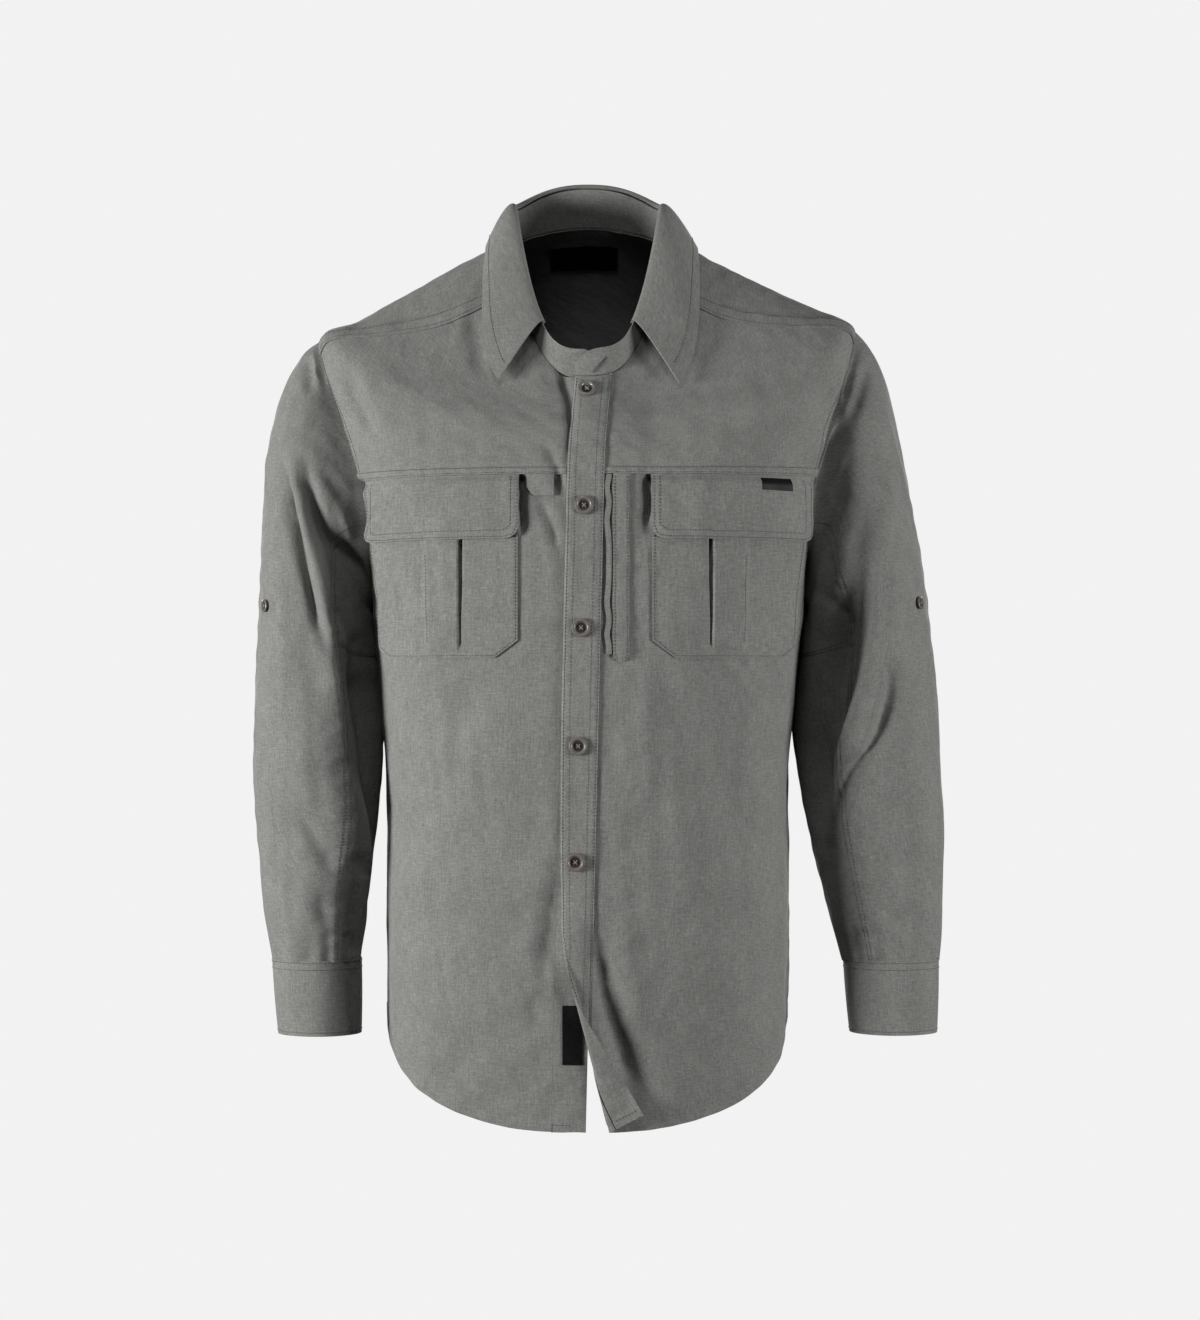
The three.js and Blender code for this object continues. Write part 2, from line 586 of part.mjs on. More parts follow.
// Sleeve sections from the armhole to the cuff. out is the outer end of the section and in the inner end, as
// distance from the centre line and height; y is the middle, and half the half depth to the front and back.
const SLEEVES = {
  right: {
    sign: -1,
    rows: [
      { outX: 262, outZ: -107, inX: 198.4, inZ: -344, y: 1, half: 54 },
      { outX: 280, outZ: -140, inX: 197.8, inZ: -349, y: 2, half: 62 },
      { outX: 291, outZ: -190, inX: 197.2, inZ: -354, y: 3, half: 69 },
      { outX: 296.5, outZ: -250, inX: 196.4, inZ: -361, y: 3, half: 73 },
      { outX: 300, outZ: -315, inX: 195, inZ: -374, y: 3, half: 74 },
      { outX: 302.5, outZ: -385, inX: 192.6, inZ: -400, y: 2, half: 71 },
      { outX: 304, outZ: -450, inX: 188.7, inZ: -450, y: 0, half: 66 },
      { outX: 303.5, outZ: -510, inX: 192, inZ: -508, y: -3, half: 61 },
      { outX: 299, outZ: -565, inX: 197.5, inZ: -563, y: -8, half: 55 },
      { outX: 293, outZ: -615, inX: 203, inZ: -614, y: -13, half: 47 },
      { outX: 286, outZ: -655.3, inX: 208, inZ: -655.3, y: -17, half: 38 },
    ],
    cuff: {
      top: -656,
      bottom: -722,
      outTop: 287.6,
      inTop: 206.4,
      outBottom: 282,
      inBottom: 206.5,
      y: -17,
      half: 37.8,
    },
    folds: [
      { deep: -9, wide: 22, path: [[-215, 40], [-250, 52], [-291, 66], [-365, 87], [-438, 108], [-500, 118]] },
      { deep: -6, wide: 18, path: [[-215, 70], [-245, 84], [-291, 107], [-335, 136]] },
    ],
    button: { along: 5.2, turn: 37 },
  },
  left: {
    sign: 1,
    rows: [
      { outX: 258, outZ: -96, inX: 198.4, inZ: -344, y: 1, half: 54 },
      { outX: 273, outZ: -130, inX: 197.8, inZ: -349, y: 2, half: 62 },
      { outX: 284, outZ: -185, inX: 197.2, inZ: -354, y: 3, half: 69 },
      { outX: 295, outZ: -240, inX: 196.4, inZ: -361, y: 3, half: 73 },
      { outX: 306, outZ: -305, inX: 195, inZ: -374, y: 3, half: 75 },
      { outX: 315, outZ: -380, inX: 192.6, inZ: -400, y: 2, half: 74 },
      { outX: 321, outZ: -450, inX: 188.7, inZ: -450, y: 0, half: 70 },
      { outX: 323.5, outZ: -510, inX: 196, inZ: -508, y: -3, half: 64 },
      { outX: 323.5, outZ: -565, inX: 208, inZ: -563, y: -8, half: 57 },
      { outX: 322.5, outZ: -615, inX: 220.5, inZ: -612, y: -13, half: 48 },
      { outX: 318, outZ: -655.3, inX: 234, inZ: -655.3, y: -17, half: 39 },
    ],
    cuff: {
      top: -656,
      bottom: -721,
      outTop: 319.6,
      inTop: 232.6,
      outBottom: 318,
      inBottom: 238.5,
      y: -17,
      half: 38.8,
    },
    folds: [
      { deep: -8, wide: 20, path: [[-250, 78], [-320, 93], [-374, 99], [-453, 118], [-520, 150]] },
      { deep: 5, wide: 18, path: [[-209, 50], [-291, 66], [-374, 82], [-453, 104], [-546, 135]] },
    ],
    button: { along: 5.3, turn: 33 },
  },
};

const FOLD_GIRTH = 60; // half girth that turns a fold's angle into a width
const FOLD_FADE = { over: 50, start: 0.3, sections: 1.5 }; // folds fade at their ends and towards the armhole

// The height given by a fold at a point of a sleeve: soft across its path, and fading at its two ends.
// A fold's path lists heights and the turns round the sleeve that it passes there.
function foldHeight(fold, z, turn) {
  const [first, last] = [fold.path[0][0], fold.path.at(-1)[0]];
  const here = clamp(z, last, first);
  let i = 0;
  while (i < fold.path.length - 2 && here < fold.path[i + 1][0]) i += 1;
  const [a, b] = [fold.path[i], fold.path[i + 1]];
  const middle = mix(a[1], b[1], (here - a[0]) / (b[0] - a[0]));
  const across = radians(turn - middle) * FOLD_GIRTH;
  const fadeAbove = smooth((first - z) / FOLD_FADE.over + 0.5);
  const fadeBelow = smooth((z - last) / FOLD_FADE.over + 0.5);
  return fold.deep * fadeAbove * fadeBelow * Math.exp(-((across / fold.wide) ** 2));
}

// turn is 0 at the outer side, 90 at the front, 180 at the inner side and -90 at the back.
function sectionPoint(sleeve, row, turn) {
  const a = radians(turn);
  const out = Math.cos(a) / 2 + 0.5;
  const x = mix(row.inX, row.outX, out) * sleeve.sign;
  return new THREE.Vector3(x, row.y - row.half * Math.sin(a), mix(row.inZ, row.outZ, out));
}

function armholePoint(sleeve, turn) {
  const step = (turn / 360) * ARMHOLE_STEPS;
  return trunkBase(sleeve.sign * armholeAngle(step), armholeLevel(step));
}

function sleeveBase(sleeve, along, turn) {
  const count = sleeve.rows.length;
  const at = (k) => {
    if (k <= 0) return armholePoint(sleeve, turn);
    return sectionPoint(sleeve, sleeve.rows[Math.min(k, count) - 1], turn);
  };
  const k = Math.min(Math.floor(along), count - 1);
  const t = along - k;
  const [p0, p1, p2, p3] = [at(k - 1), at(k), at(k + 1), at(k + 2)];
  const slope1 = p2.clone().sub(p0).multiplyScalar(0.5);
  const slope2 = p3.clone().sub(p1).multiplyScalar(0.5);
  const point = p1.multiplyScalar((1 + 2 * t) * (1 - t) ** 2).addScaledVector(p2, t * t * (3 - 2 * t));
  return point.addScaledVector(slope1, t * (1 - t) ** 2).addScaledVector(slope2, -t * t * (1 - t));
}

function sleeveNormal(sleeve, along, turn) {
  const count = sleeve.rows.length;
  const round = sleeveBase(sleeve, along, turn + 2).sub(sleeveBase(sleeve, along, turn - 2));
  const low = Math.max(0, along - 0.05);
  const high = Math.min(count, along + 0.05);
  const down = sleeveBase(sleeve, high, turn).sub(sleeveBase(sleeve, low, turn));
  const normal = down.cross(round).multiplyScalar(-sleeve.sign).normalize();
  if (along >= 1) return normal;
  const step = (turn / 360) * ARMHOLE_STEPS;
  const onTrunk = trunkNormal(sleeve.sign * armholeAngle(step), armholeLevel(step));
  return onTrunk.lerp(normal, smooth(along)).normalize();
}

// The sleeve seam moves towards the body below the gusset.
const SEAM_DRIFT = { degrees: 7.5, start: 4.5, sections: 2 };

function sleevePoint(sleeve, along, straightTurn, offset) {
  const drift = SEAM_DRIFT.degrees * smooth((along - SEAM_DRIFT.start) / SEAM_DRIFT.sections);
  const turn = straightTurn + drift * Math.sin(radians(straightTurn));
  const base = sleeveBase(sleeve, along, turn);
  const around = ((turn + 540) % 360) - 180;
  const fade = smooth((along - FOLD_FADE.start) / FOLD_FADE.sections);
  const height = sleeve.folds.reduce((sum, fold) => sum + foldHeight(fold, base.z, around), 0);
  return base.addScaledVector(sleeveNormal(sleeve, along, turn), height * fade + offset);
}

const TURN_STEP = 360 / ARMHOLE_STEPS;
const SEAM_STEPS = 9; // armhole steps from the shoulder point to the sleeve's front and back seams
const SLEEVE_SEAM = SEAM_STEPS * TURN_STEP;
const GUSSET_END = 5.35; // where the underarm gusset ends, in sections from the armhole
const SEAM_TURN = 0.35; // half a seam gap, as a turn of the sleeve
const SLEEVE_START = 0.015; // the seam gap at the armhole, in sections
const SECTION_LENGTH = 60; // usual distance between two sections

const ROWS_A_SECTION = 1.4;

// A piece of a sleeve between two places along it and two of its seams.
function sleevePiece(sleeve, from, to, turns) {
  const steps = Math.max(2, Math.round((to - from) * ROWS_A_SECTION));
  const alongs = spread(from, to, steps + 1);
  const count = turns.length;
  return panel(alongs.length, count, 0, CLOTH, (i, j, offset) => {
    const k = sleeve.sign > 0 ? count - 1 - j : j;
    return sleevePoint(sleeve, alongs[alongs.length - 1 - i], turns[k], offset);
  });
}

// Turns from one seam to the next, its first and last drawn in by the seam gap.
function seamTurns(first, steps) {
  const turns = range(steps + 1).map((i) => first + i * TURN_STEP);
  turns[0] += SEAM_TURN;
  turns[steps] -= SEAM_TURN;
  return turns;
}

const topTurns = seamTurns(-SLEEVE_SEAM, 2 * SEAM_STEPS);
const underTurns = seamTurns(SLEEVE_SEAM, ARMHOLE_STEPS - 2 * SEAM_STEPS);

// A cuff: a band round the sleeve's end, a little outside it, its ends lapped at the back.
const CUFF_START = -128; // turn at which the band's under end begins
const CUFF_LAP = 30; // how far the band goes past a full turn, in degrees
const CUFF_STEP = { out: 2.1, from: 300, width: 50 }; // its over end moves out by this, over these degrees
const CUFF_BUTTON = { share: 0.5, past: 375 };

function cuffPoint(sleeve, share, past, offset) {
  const { cuff } = sleeve;
  const a = radians(CUFF_START + past);
  const outer = offset + CUFF_STEP.out * smooth((past - CUFF_STEP.from) / CUFF_STEP.width);
  const out = mix(cuff.outTop, cuff.outBottom, share);
  const inner = mix(cuff.inTop, cuff.inBottom, share);
  return new THREE.Vector3(
    sleeve.sign * ((out + inner) / 2 + ((out - inner) / 2 - BAND + outer) * Math.cos(a)),
    cuff.y - (cuff.half + outer) * Math.sin(a),
    mix(cuff.top, cuff.bottom, share),
  );
}

function cuff(sleeve) {
  const rows = 3;
  const pasts = spread(0, 360 + CUFF_LAP, 33);
  return panel(rows, pasts.length, 0, BAND, (i, j, offset) => {
    const k = sleeve.sign > 0 ? pasts.length - 1 - j : j;
    return cuffPoint(sleeve, 1 - i / (rows - 1), pasts[k], offset);
  });
}

// A chest pocket: one layer with a box pleat that stands up by a layer between two of its lines.
const POCKET = { top: -232, bottom: -381, cutIn: 15, cutOut: 9 };
const PLEAT = { firstLine: 4, lastLine: 6, rise: 1.4 };
const POCKET_LIFT = CLOTH + LAYER;
const POCKET_LOW = -364; // just above the cut corners
const POCKET_ROWS = [POCKET_LOW, ...[0, 3, 5, 6].map((i) => armholeLevelsBelowSeam[i]), POCKET.top];

function pocket(side) {
  const lines = pocketLines(side);
  const last = lines.length - 1;
  const cut = (j) => {
    if (j === 0) return POCKET.cutIn;
    return j === last ? POCKET.cutOut : 0;
  };
  const rows = POCKET_ROWS.length + 1;
  return panel(rows, lines.length, POCKET_LIFT, POCKET_LIFT + CLOTH, (i, j, offset) => {
    const k = side > 0 ? j : last - j;
    const raised = k >= PLEAT.firstLine && k <= PLEAT.lastLine ? PLEAT.rise : 0;
    const level = i === 0 ? POCKET.bottom + cut(k) : POCKET_ROWS[i - 1];
    return onFront(side, lines[k](level), level, offset + raised);
  });
}

// A pocket flap, caught in the chest seam and lying over the pocket's top.
const FLAP = {
  top: CHEST_SEAM - 0.6,
  bottom: -277,
  wider: 1, // beyond the pocket's inner edge
  outLeft: 4.5, // beyond its outer edge
  outRight: 1,
  cutIn: 7,
  cutOut: 8,
  cutWidth: 4,
  sewn: POCKET_LIFT,
  lift: 5.4,
  rise: 9, // from sewn to lift within this
};
const FLAP_SHARES = [0, 0.12, 0.45, 0.8, 1];

function flapLines(side) {
  const [first, last] = [POCKET_LINES[0], POCKET_LINES.at(-1)];
  const out = side > 0 ? FLAP.outLeft : FLAP.outRight;
  const lines = [first - FLAP.wider, ...POCKET_LINES.slice(1, -1), last - FLAP.cutWidth, last + out];
  return lines.map((line) => pocketLine(side, line));
}

// The flap's height over the front: little at its seam, and clear of the pocket's pleat below.
const flapLift = (level) => mix(FLAP.sewn, FLAP.lift, smooth((FLAP.top - level) / FLAP.rise));

function flap(side) {
  const lines = flapLines(side);
  const last = lines.length - 1;
  return panel(FLAP_SHARES.length, lines.length, 0, CLOTH, (i, j, offset) => {
    const k = side > 0 ? j : last - j;
    const cut = k === 0 ? FLAP.cutIn : k === last ? FLAP.cutOut : 0;
    const level = mix(FLAP.bottom + cut, FLAP.top, FLAP_SHARES[i]);
    return onFront(side, lines[k](level), level, offset + flapLift(level));
  });
}

// A flat strip on one front between two x lines and two levels, its lower corners cut back.
function strip(side, { from, to, top, bottom, cuts, low, thick, across, up }) {
  return panel(up, across, low, low + thick, (i, j, offset) => {
    const k = side > 0 ? j : across - 1 - j;
    const cut = k === 0 ? cuts[0] : k === across - 1 ? cuts[1] : 0;
    return onFront(side, mix(from, to, k / (across - 1)), mix(bottom + cut, top, i / (up - 1)), offset);
  });
}

const TOOL_TAB = {
  from: 29.5,
  to: 53,
  top: FLAP.top,
  bottom: -241,
  cuts: [0, 6],
  low: POCKET_LIFT,
  thick: BAND,
  across: 4,
  up: 3,
};
const ZIP_TAPE = {
  from: 15.6,
  to: 20.4,
  top: -221,
  bottom: -378,
  cuts: [0, 0],
  low: POCKET_LIFT,
  thick: 0.8,
  across: 3,
  up: 8,
};
const ZIP_WELT = {
  from: 22,
  to: 36.5,
  top: FLAP.top,
  bottom: -384,
  cuts: [5, 5],
  low: POCKET_LIFT,
  thick: BAND,
  across: 5,
  up: 8,
};
const HEM_LABEL = {
  from: 4.5,
  to: 22,
  top: -686,
  bottom: -739,
  cuts: [0, 0],
  low: 1.55,
  thick: 0.5,
  across: 3,
  up: 4,
};

// A label sewn on the outer end of the left flap.
const FLAP_LABEL = {
  lines: [151, 158, 166, 174, 177.5],
  top: -223.5,
  bottom: -234.5,
  low: CLOTH + 0.8,
  thick: 0.6,
};

function flapLabel() {
  const { lines, top, bottom, low, thick } = FLAP_LABEL;
  return panel(2, lines.length, low, low + thick, (i, j, offset) => {
    const level = mix(bottom, top, i);
    return onFront(1, lines[j], level, offset + flapLift(level));
  });
}

// The label inside the neck, on the dark lining of the yoke.
const NECK_LABEL = {
  bottom: { from: 163, to: 202, level: -5 },
  top: { from: 159, to: 207, level: 30 },
  low: -3.4,
  thick: 0.6,
  across: 7,
  up: 4,
};

function neckLabel() {
  const { bottom, top, low, thick, across, up } = NECK_LABEL;
  return panel(up, across, low, low + thick, (i, j, offset) => {
    const high = i / (up - 1);
    const from = mix(bottom.from, top.from, high);
    const to = mix(bottom.to, top.to, high);
    return trunkPoint(mix(from, to, j / (across - 1)), mix(bottom.level, top.level, high), offset);
  });
}

// A turned button with its back at z = 0: r and z as shares of its radius and thickness.
const BUTTON_PROFILE = [
  { r: 0, z: 0 },
  { r: 0.85, z: 0 },
  { r: 1, z: 0.5 },
  { r: 0.86, z: 1 },
  { r: 0.56, z: 0.6 },
  { r: 0, z: 0.5 },
];

function turnedSolid(profile, radius, thickness, segments) {
  const position = [];
  const index = [];
  const rings = profile.slice(1, -1);
  position.push(0, 0, profile[0].z * thickness, 0, 0, profile.at(-1).z * thickness);
  rings.forEach(({ r, z }) => {
    range(segments).forEach((k) => {
      const a = (2 * Math.PI * k) / segments;
      position.push(r * radius * Math.cos(a), r * radius * Math.sin(a), z * thickness);
    });
  });
  const at = (i, k) => 2 + i * segments + (k % segments);
  range(segments).forEach((k) => {
    index.push(0, at(0, k + 1), at(0, k));
    range(rings.length - 1).forEach((i) => {
      index.push(at(i, k), at(i, k + 1), at(i + 1, k + 1), at(i, k), at(i + 1, k + 1), at(i + 1, k));
    });
    index.push(1, at(rings.length - 1, k), at(rings.length - 1, k + 1));
  });
  const geometry = new THREE.BufferGeometry();
  geometry.setAttribute("position", new THREE.Float32BufferAttribute(position, 3));
  geometry.setIndex(index);
  geometry.computeVertexNormals();
  return geometry;
}

function addButton(name, size, point, normal) {
  const geometry = turnedSolid(BUTTON_PROFILE, size.radius, size.thickness, size.segments);
  geometry.applyQuaternion(new THREE.Quaternion().setFromUnitVectors(new THREE.Vector3(0, 0, 1), normal));
  geometry.translate(point.x, point.y, point.z);
  add(name, geometry, BUTTON_RESIN);
}

const SIDES = [["left", 1], ["right", -1]];

const FRONT_BUTTON = { radius: 7.8, thickness: 3.2, segments: 14 };
const SMALL_BUTTON = { radius: 5.8, thickness: 2.6, segments: 12 };
const FRONT_BUTTON_LEVELS = [-146, -248, -355, -458, -559];
const BUTTON_GAP = 0.5;
const SLEEVE_BUTTON_GAP = 0.2; // the sleeve bows away under its button, which lies a little lower for it

for (const [name, side] of SIDES) {
  add(`front_upper_${name}`, frontUpper(side));
  add(`front_lower_${name}`, frontLower(side));
}
add("placket_left", upperPlacket());
add("placket_right", underPlacket());
add("back_panel", backPanel());
add("back_yoke", yoke());
add("yoke_lining", yokeLining(), DARK_LINING);
add("collar_stand", collarStand());
add("collar_leaf", collarLeaf());
for (const [name, sleeve] of Object.entries(SLEEVES)) {
  const end = sleeve.rows.length;
  const gussetEnd = GUSSET_END - SEAM / SECTION_LENGTH;
  add(`sleeve_${name}`, sleevePiece(sleeve, SLEEVE_START, end, topTurns));
  add(`underarm_gusset_${name}`, sleevePiece(sleeve, SLEEVE_START, gussetEnd, underTurns));
  add(`under_sleeve_${name}`, sleevePiece(sleeve, GUSSET_END, end, underTurns));
  add(`cuff_${name}`, cuff(sleeve));
}
for (const [name, side] of SIDES) {
  add(`pocket_${name}`, pocket(side));
  add(`pocket_flap_${name}`, flap(side));
}
add("tool_tab", strip(-1, TOOL_TAB));
add("chest_zip_tape", strip(1, ZIP_TAPE));
add("chest_zip_welt", strip(1, ZIP_WELT));
add("hem_label", strip(-1, HEM_LABEL), LABEL_SATIN);
add("flap_label", flapLabel(), LABEL_SATIN);
add("neck_label", neckLabel(), LABEL_SATIN);
FRONT_BUTTON_LEVELS.forEach((z, i) => {
  const x = buttonLine(z);
  const level = levelAt(x, z);
  const lift = UNDER_PLACKET_LIFT + BAND + BUTTON_GAP;
  const angle = angleAt(x, level);
  addButton(`front_button_${i + 1}`, FRONT_BUTTON, trunkPoint(angle, level, lift), trunkNormal(angle, level));
});
for (const [name, sleeve] of Object.entries(SLEEVES)) {
  const { along, turn } = sleeve.button;
  const point = sleevePoint(sleeve, along, turn, CLOTH + SLEEVE_BUTTON_GAP);
  addButton(`sleeve_button_${name}`, SMALL_BUTTON, point, sleeveNormal(sleeve, along, turn));
  const onCuff = cuffPoint(sleeve, CUFF_BUTTON.share, CUFF_BUTTON.past, BAND + BUTTON_GAP);
  const under = cuffPoint(sleeve, CUFF_BUTTON.share, CUFF_BUTTON.past, 0);
  addButton(`cuff_button_${name}`, SMALL_BUTTON, onCuff, onCuff.clone().sub(under).normalize());
}

export default group;
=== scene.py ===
"""A long-sleeved work shirt, filled out with no wearer: its cloth, sewing, buttons and labels.

Lengths in the tables are millimetres, heights are +Z, the front faces -Y and +X is the wearer's left.
Each piece of cloth is a thin closed shell on the form of its solid, with its creases moved in or out.
"""

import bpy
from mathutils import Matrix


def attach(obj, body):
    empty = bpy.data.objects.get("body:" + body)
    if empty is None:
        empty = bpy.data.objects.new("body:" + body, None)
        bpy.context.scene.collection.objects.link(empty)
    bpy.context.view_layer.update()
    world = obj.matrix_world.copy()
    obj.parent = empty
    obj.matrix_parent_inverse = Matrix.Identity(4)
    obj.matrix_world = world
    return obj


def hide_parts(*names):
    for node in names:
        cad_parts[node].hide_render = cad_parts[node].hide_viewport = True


bl_info = {
    "name": "Work shirt",
    "version": (1, 0, 0),
    "blender": (4, 5, 0),
    "location": "3D View > Sidebar > Shirt",
    "description": "Dresses the frame of a work shirt in chambray, stitching, buttons and labels",
    "category": "Object",
}

import bpy
import numpy as np
from bpy.props import FloatProperty, FloatVectorProperty, PointerProperty

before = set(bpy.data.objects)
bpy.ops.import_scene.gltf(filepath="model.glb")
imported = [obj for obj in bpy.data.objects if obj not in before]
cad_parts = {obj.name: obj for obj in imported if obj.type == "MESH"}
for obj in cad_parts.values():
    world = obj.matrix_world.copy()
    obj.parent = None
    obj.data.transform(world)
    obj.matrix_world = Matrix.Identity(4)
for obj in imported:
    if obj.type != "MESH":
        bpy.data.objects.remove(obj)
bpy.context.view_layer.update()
MM = 0.001

# Seams and levels of the body of the shirt.
CHEST_SEAM = -220
ARMPIT = -340
SHOULDER_TIP = -100
NECK = 60
ARMHOLE_STEPS = 28
ARMHOLE_FRONT = 48
ARMHOLE_BACK = 46
FRONT_YOKE_STEP = 2
BACK_YOKE_STEP = 5
YOKE_NECK_ANGLE = 57
SIDE_ANGLE = 90
LEAN = 0.02
GAP_ANGLE = 0.04  # half of the open line left at a seam, in degrees
LAP = 1.35  # how far a lapped edge stands over the cloth below it
LAP_WIDTH = 9
LAP_FALL = 3  # the width over which it comes down again
UNDERLAP = 2  # how far the cloth below runs on under the edge
HEM_TURN = 8  # width of the turned hem
HEM_RISE = 0.6

UNDER_PLACKET_LIFT = 2.5
LEFT_EDGE_PRESS = 0.8  # the placket's free edge is pressed down this far
EDGE_LIFT = 1.6
EDGE_LIFT_WIDTH = 42
PLACKET_IN = 17
UNDER_OUT = 14.5
UNDER_IN = 16
BUTTON_LINE = {"x": -0.5, "level": -144, "slant": 0.0236}
PLACKET_LEVELS = (-800, -640, -560, -440, -144)
PLACKET_OUT = (10, 10.5, 13, 15.2, 15.5)

HEM_FRONT = -800
HEM_SIDE = -704
HEM_BACK = -752
HEM_RING = -750
HEM_CURVE = (2.6, 2.5)

# Rings of the trunk, from the hem to the neck.
TRUNK_COLUMNS = ("level", "z_front", "z_side", "z_back", "width", "front", "back", "square")
TRUNK = np.array([
    (-810, -810, -810, -810, 176, 108, 136, 2.2),
    (-700, -700, -700, -700, 182, 126, 147, 2.2),
    (-600, -600, -600, -600, 183.3, 137, 153, 2.25),
    (-490, -490, -490, -490, 182.5, 143, 158, 2.3),
    (-400, -400, -400, -400, 188.5, 143, 159, 2.35),
    (-340, -340, -340, -340, 194.5, 141, 158, 2.4),
    (-280, -280, -280, -280, 202, 137, 155, 2.4),
    (-220, -220, -220, -220, 213, 131, 148, 2.4),
    (-165, -191, -162, -160, 230, 122, 140, 2.3),
    (-100, -173, -86, -92, 243, 114, 128, 2.1),
    (-60, -162, -67, -55, 207, 106, 115, 2.05),
    (-20, -153, -45, -24, 162, 99, 98, 2),
    (20, -143, -21, 2, 117, 92, 80, 2),
    (60, -133, 0, 21, 76, 86, 62, 2),
])

# Waves of the slow unevenness and of the small wrinkles: how many, their lengths and those of their patches.
DRAPE = {"waves": 9, "length": (45, 120)}
CRUMPLE = {"waves": 16, "length": (13, 34), "patch": (60, 170)}
# How strong they are, on the trunk and on the sleeves.
TRUNK_DRAPE, TRUNK_CRUMPLE = 0.8, 0.2
SLEEVE_DRAPE, SLEEVE_CRUMPLE = 0.9, 0.22
PUCKER = {"high": 0.38, "reach": 7}
CREASE_FADE = 0.32  # share of a crease's path over which it fades out at each end


def table(columns, rows):
    """The rows of a table as dictionaries under its columns' names."""
    return tuple(dict(zip(columns, row)) for row in rows)


# Creases on the front. deep is the height of the bell across the path (below 0 it sinks
# in), wide its half width, lean makes one flank steeper than the other, and path is a row of places (x, z).
CREASE_COLUMNS = ("deep", "wide", "lean", "path")
FRONT_CREASES = table(CREASE_COLUMNS, (
    (-6.8, 8, 0.3, ((-219, -120), (-213, -140), (-200, -164), (-185, -189))),
    (3.8, 9, 0, ((-208, -116), (-198, -143), (-184, -167), (-173, -185))),
    (-3.3, 9, 0, ((-104, -66), (-100, -88), (-95, -112), (-88, -137))),
    (-1.8, 10, 0, ((-114, -177), (-105, -192), (-96, -209))),
    (-3.4, 5, 0, ((-38, -190), (-31, -206), (-25, -223), (-22, -247))),
    (-3.4, 5, 0.3, ((-33, -104), (-24, -127), (-17, -155), (-15, -186), (-18, -220))),
    (-3.6, 5, 0, ((-46, -232), (-38, -251), (-30, -271), (-25, -295))),
    (-3.3, 8, 0, ((-179, -288), (-171, -309), (-161, -329), (-154, -357))),
    (2.4, 9, 0, ((-168, -285), (-158, -309), (-147, -330))),
    (-4.5, 3.6, 0, ((-205, -218), (-202, -227), (-196, -234))),
    (-4.5, 3.2, 0, ((-197, -232), (-195, -251), (-193, -275))),
    (-2.7, 12, 0, ((-103, -392), (-110, -418), (-116, -453), (-119, -497))),
    (-2.4, 12, 0, ((58, -386), (66, -405), (80, -428), (98, -451))),
    (2.4, 14, 0, ((45, -397), (47, -435), (45, -479), (50, -532))),
    (-2.7, 16, 0, ((-59, -418), (-52, -470), (-51, -532), (-56, -593))),
    (-2.7, 18, 0, ((128, -400), (122, -470), (124, -549), (135, -619))),
    (-6, 13, 0.2, ((-24, -554), (-28, -584), (-33, -615), (-35, -647), (-28, -680))),
    (-9.5, 13, 0.2, ((3, -593), (8, -637), (16, -681), (26, -720), (39, -755), (53, -779))),
    (3.8, 13, 0, ((25, -593), (33, -637), (39, -681), (46, -724))),
    (-2.7, 8, 0, ((-42, -668), (-47, -690), (-42, -716))),
    (-3.9, 7, 0, ((219, -134), (212, -163), (203, -189))),
    (-2.1, 10, 0, ((151, -119), (162, -154), (178, -189))),
    (-2.2, 12, 0, ((46, -147), (59, -172), (65, -200))),
))

# Below the armpits the sleeves lie against the body. Both are a little fuller there, so that they touch.
TOUCH = {"top": -330, "bottom": -465, "full": 1.0, "from_x": 172}

# The same kind of creases on the back, which the picture doesn't show: a few long soft ones.
BACK_CREASES = table(CREASE_COLUMNS, (
    (-4.8, 12, 0.2, ((-196, -175), (-168, -215), (-138, -262), (-112, -318))),
    (-5.4, 11, 0.2, ((198, -170), (172, -206), (146, -250), (128, -300))),
    (-3.3, 9, 0, ((176, -262), (150, -300), (126, -352))),
    (-3.9, 16, 0, ((-62, -300), (-74, -400), (-70, -500), (-84, -600))),
    (-3.6, 17, 0, ((58, -340), (70, -430), (66, -540), (78, -650))),
    (3.3, 15, 0, ((4, -330), (-4, -450), (6, -570), (2, -690))),
    (-3.3, 10, 0, ((-150, -360), (-124, -402), (-104, -452))),
    (-3, 12, 0, ((120, -560), (128, -620), (118, -690))),
    (-2.7, 10, 0, ((-20, -176), (-30, -215), (-26, -260))),
))


def smooth(value):
    """0 up to 0, 1 from 1, and 3v^2 - 2v^3 in between."""
    value = np.clip(value, 0, 1)
    return value * value * (3 - 2 * value)


def mix(low, high, share):
    return low + (high - low) * share


def matched(*values):
    """Values as arrays of one shape."""
    return np.broadcast_arrays(*(np.asarray(value, float) for value in values))


def ring_radius(a, width, depth, n):
    """Distance from the middle to the outline |x / width|^n + |y / depth|^n = 1 at a polar angle."""
    return ((np.abs(np.sin(a)) / width) ** n + (np.abs(np.cos(a)) / depth) ** n) ** (-1 / n)


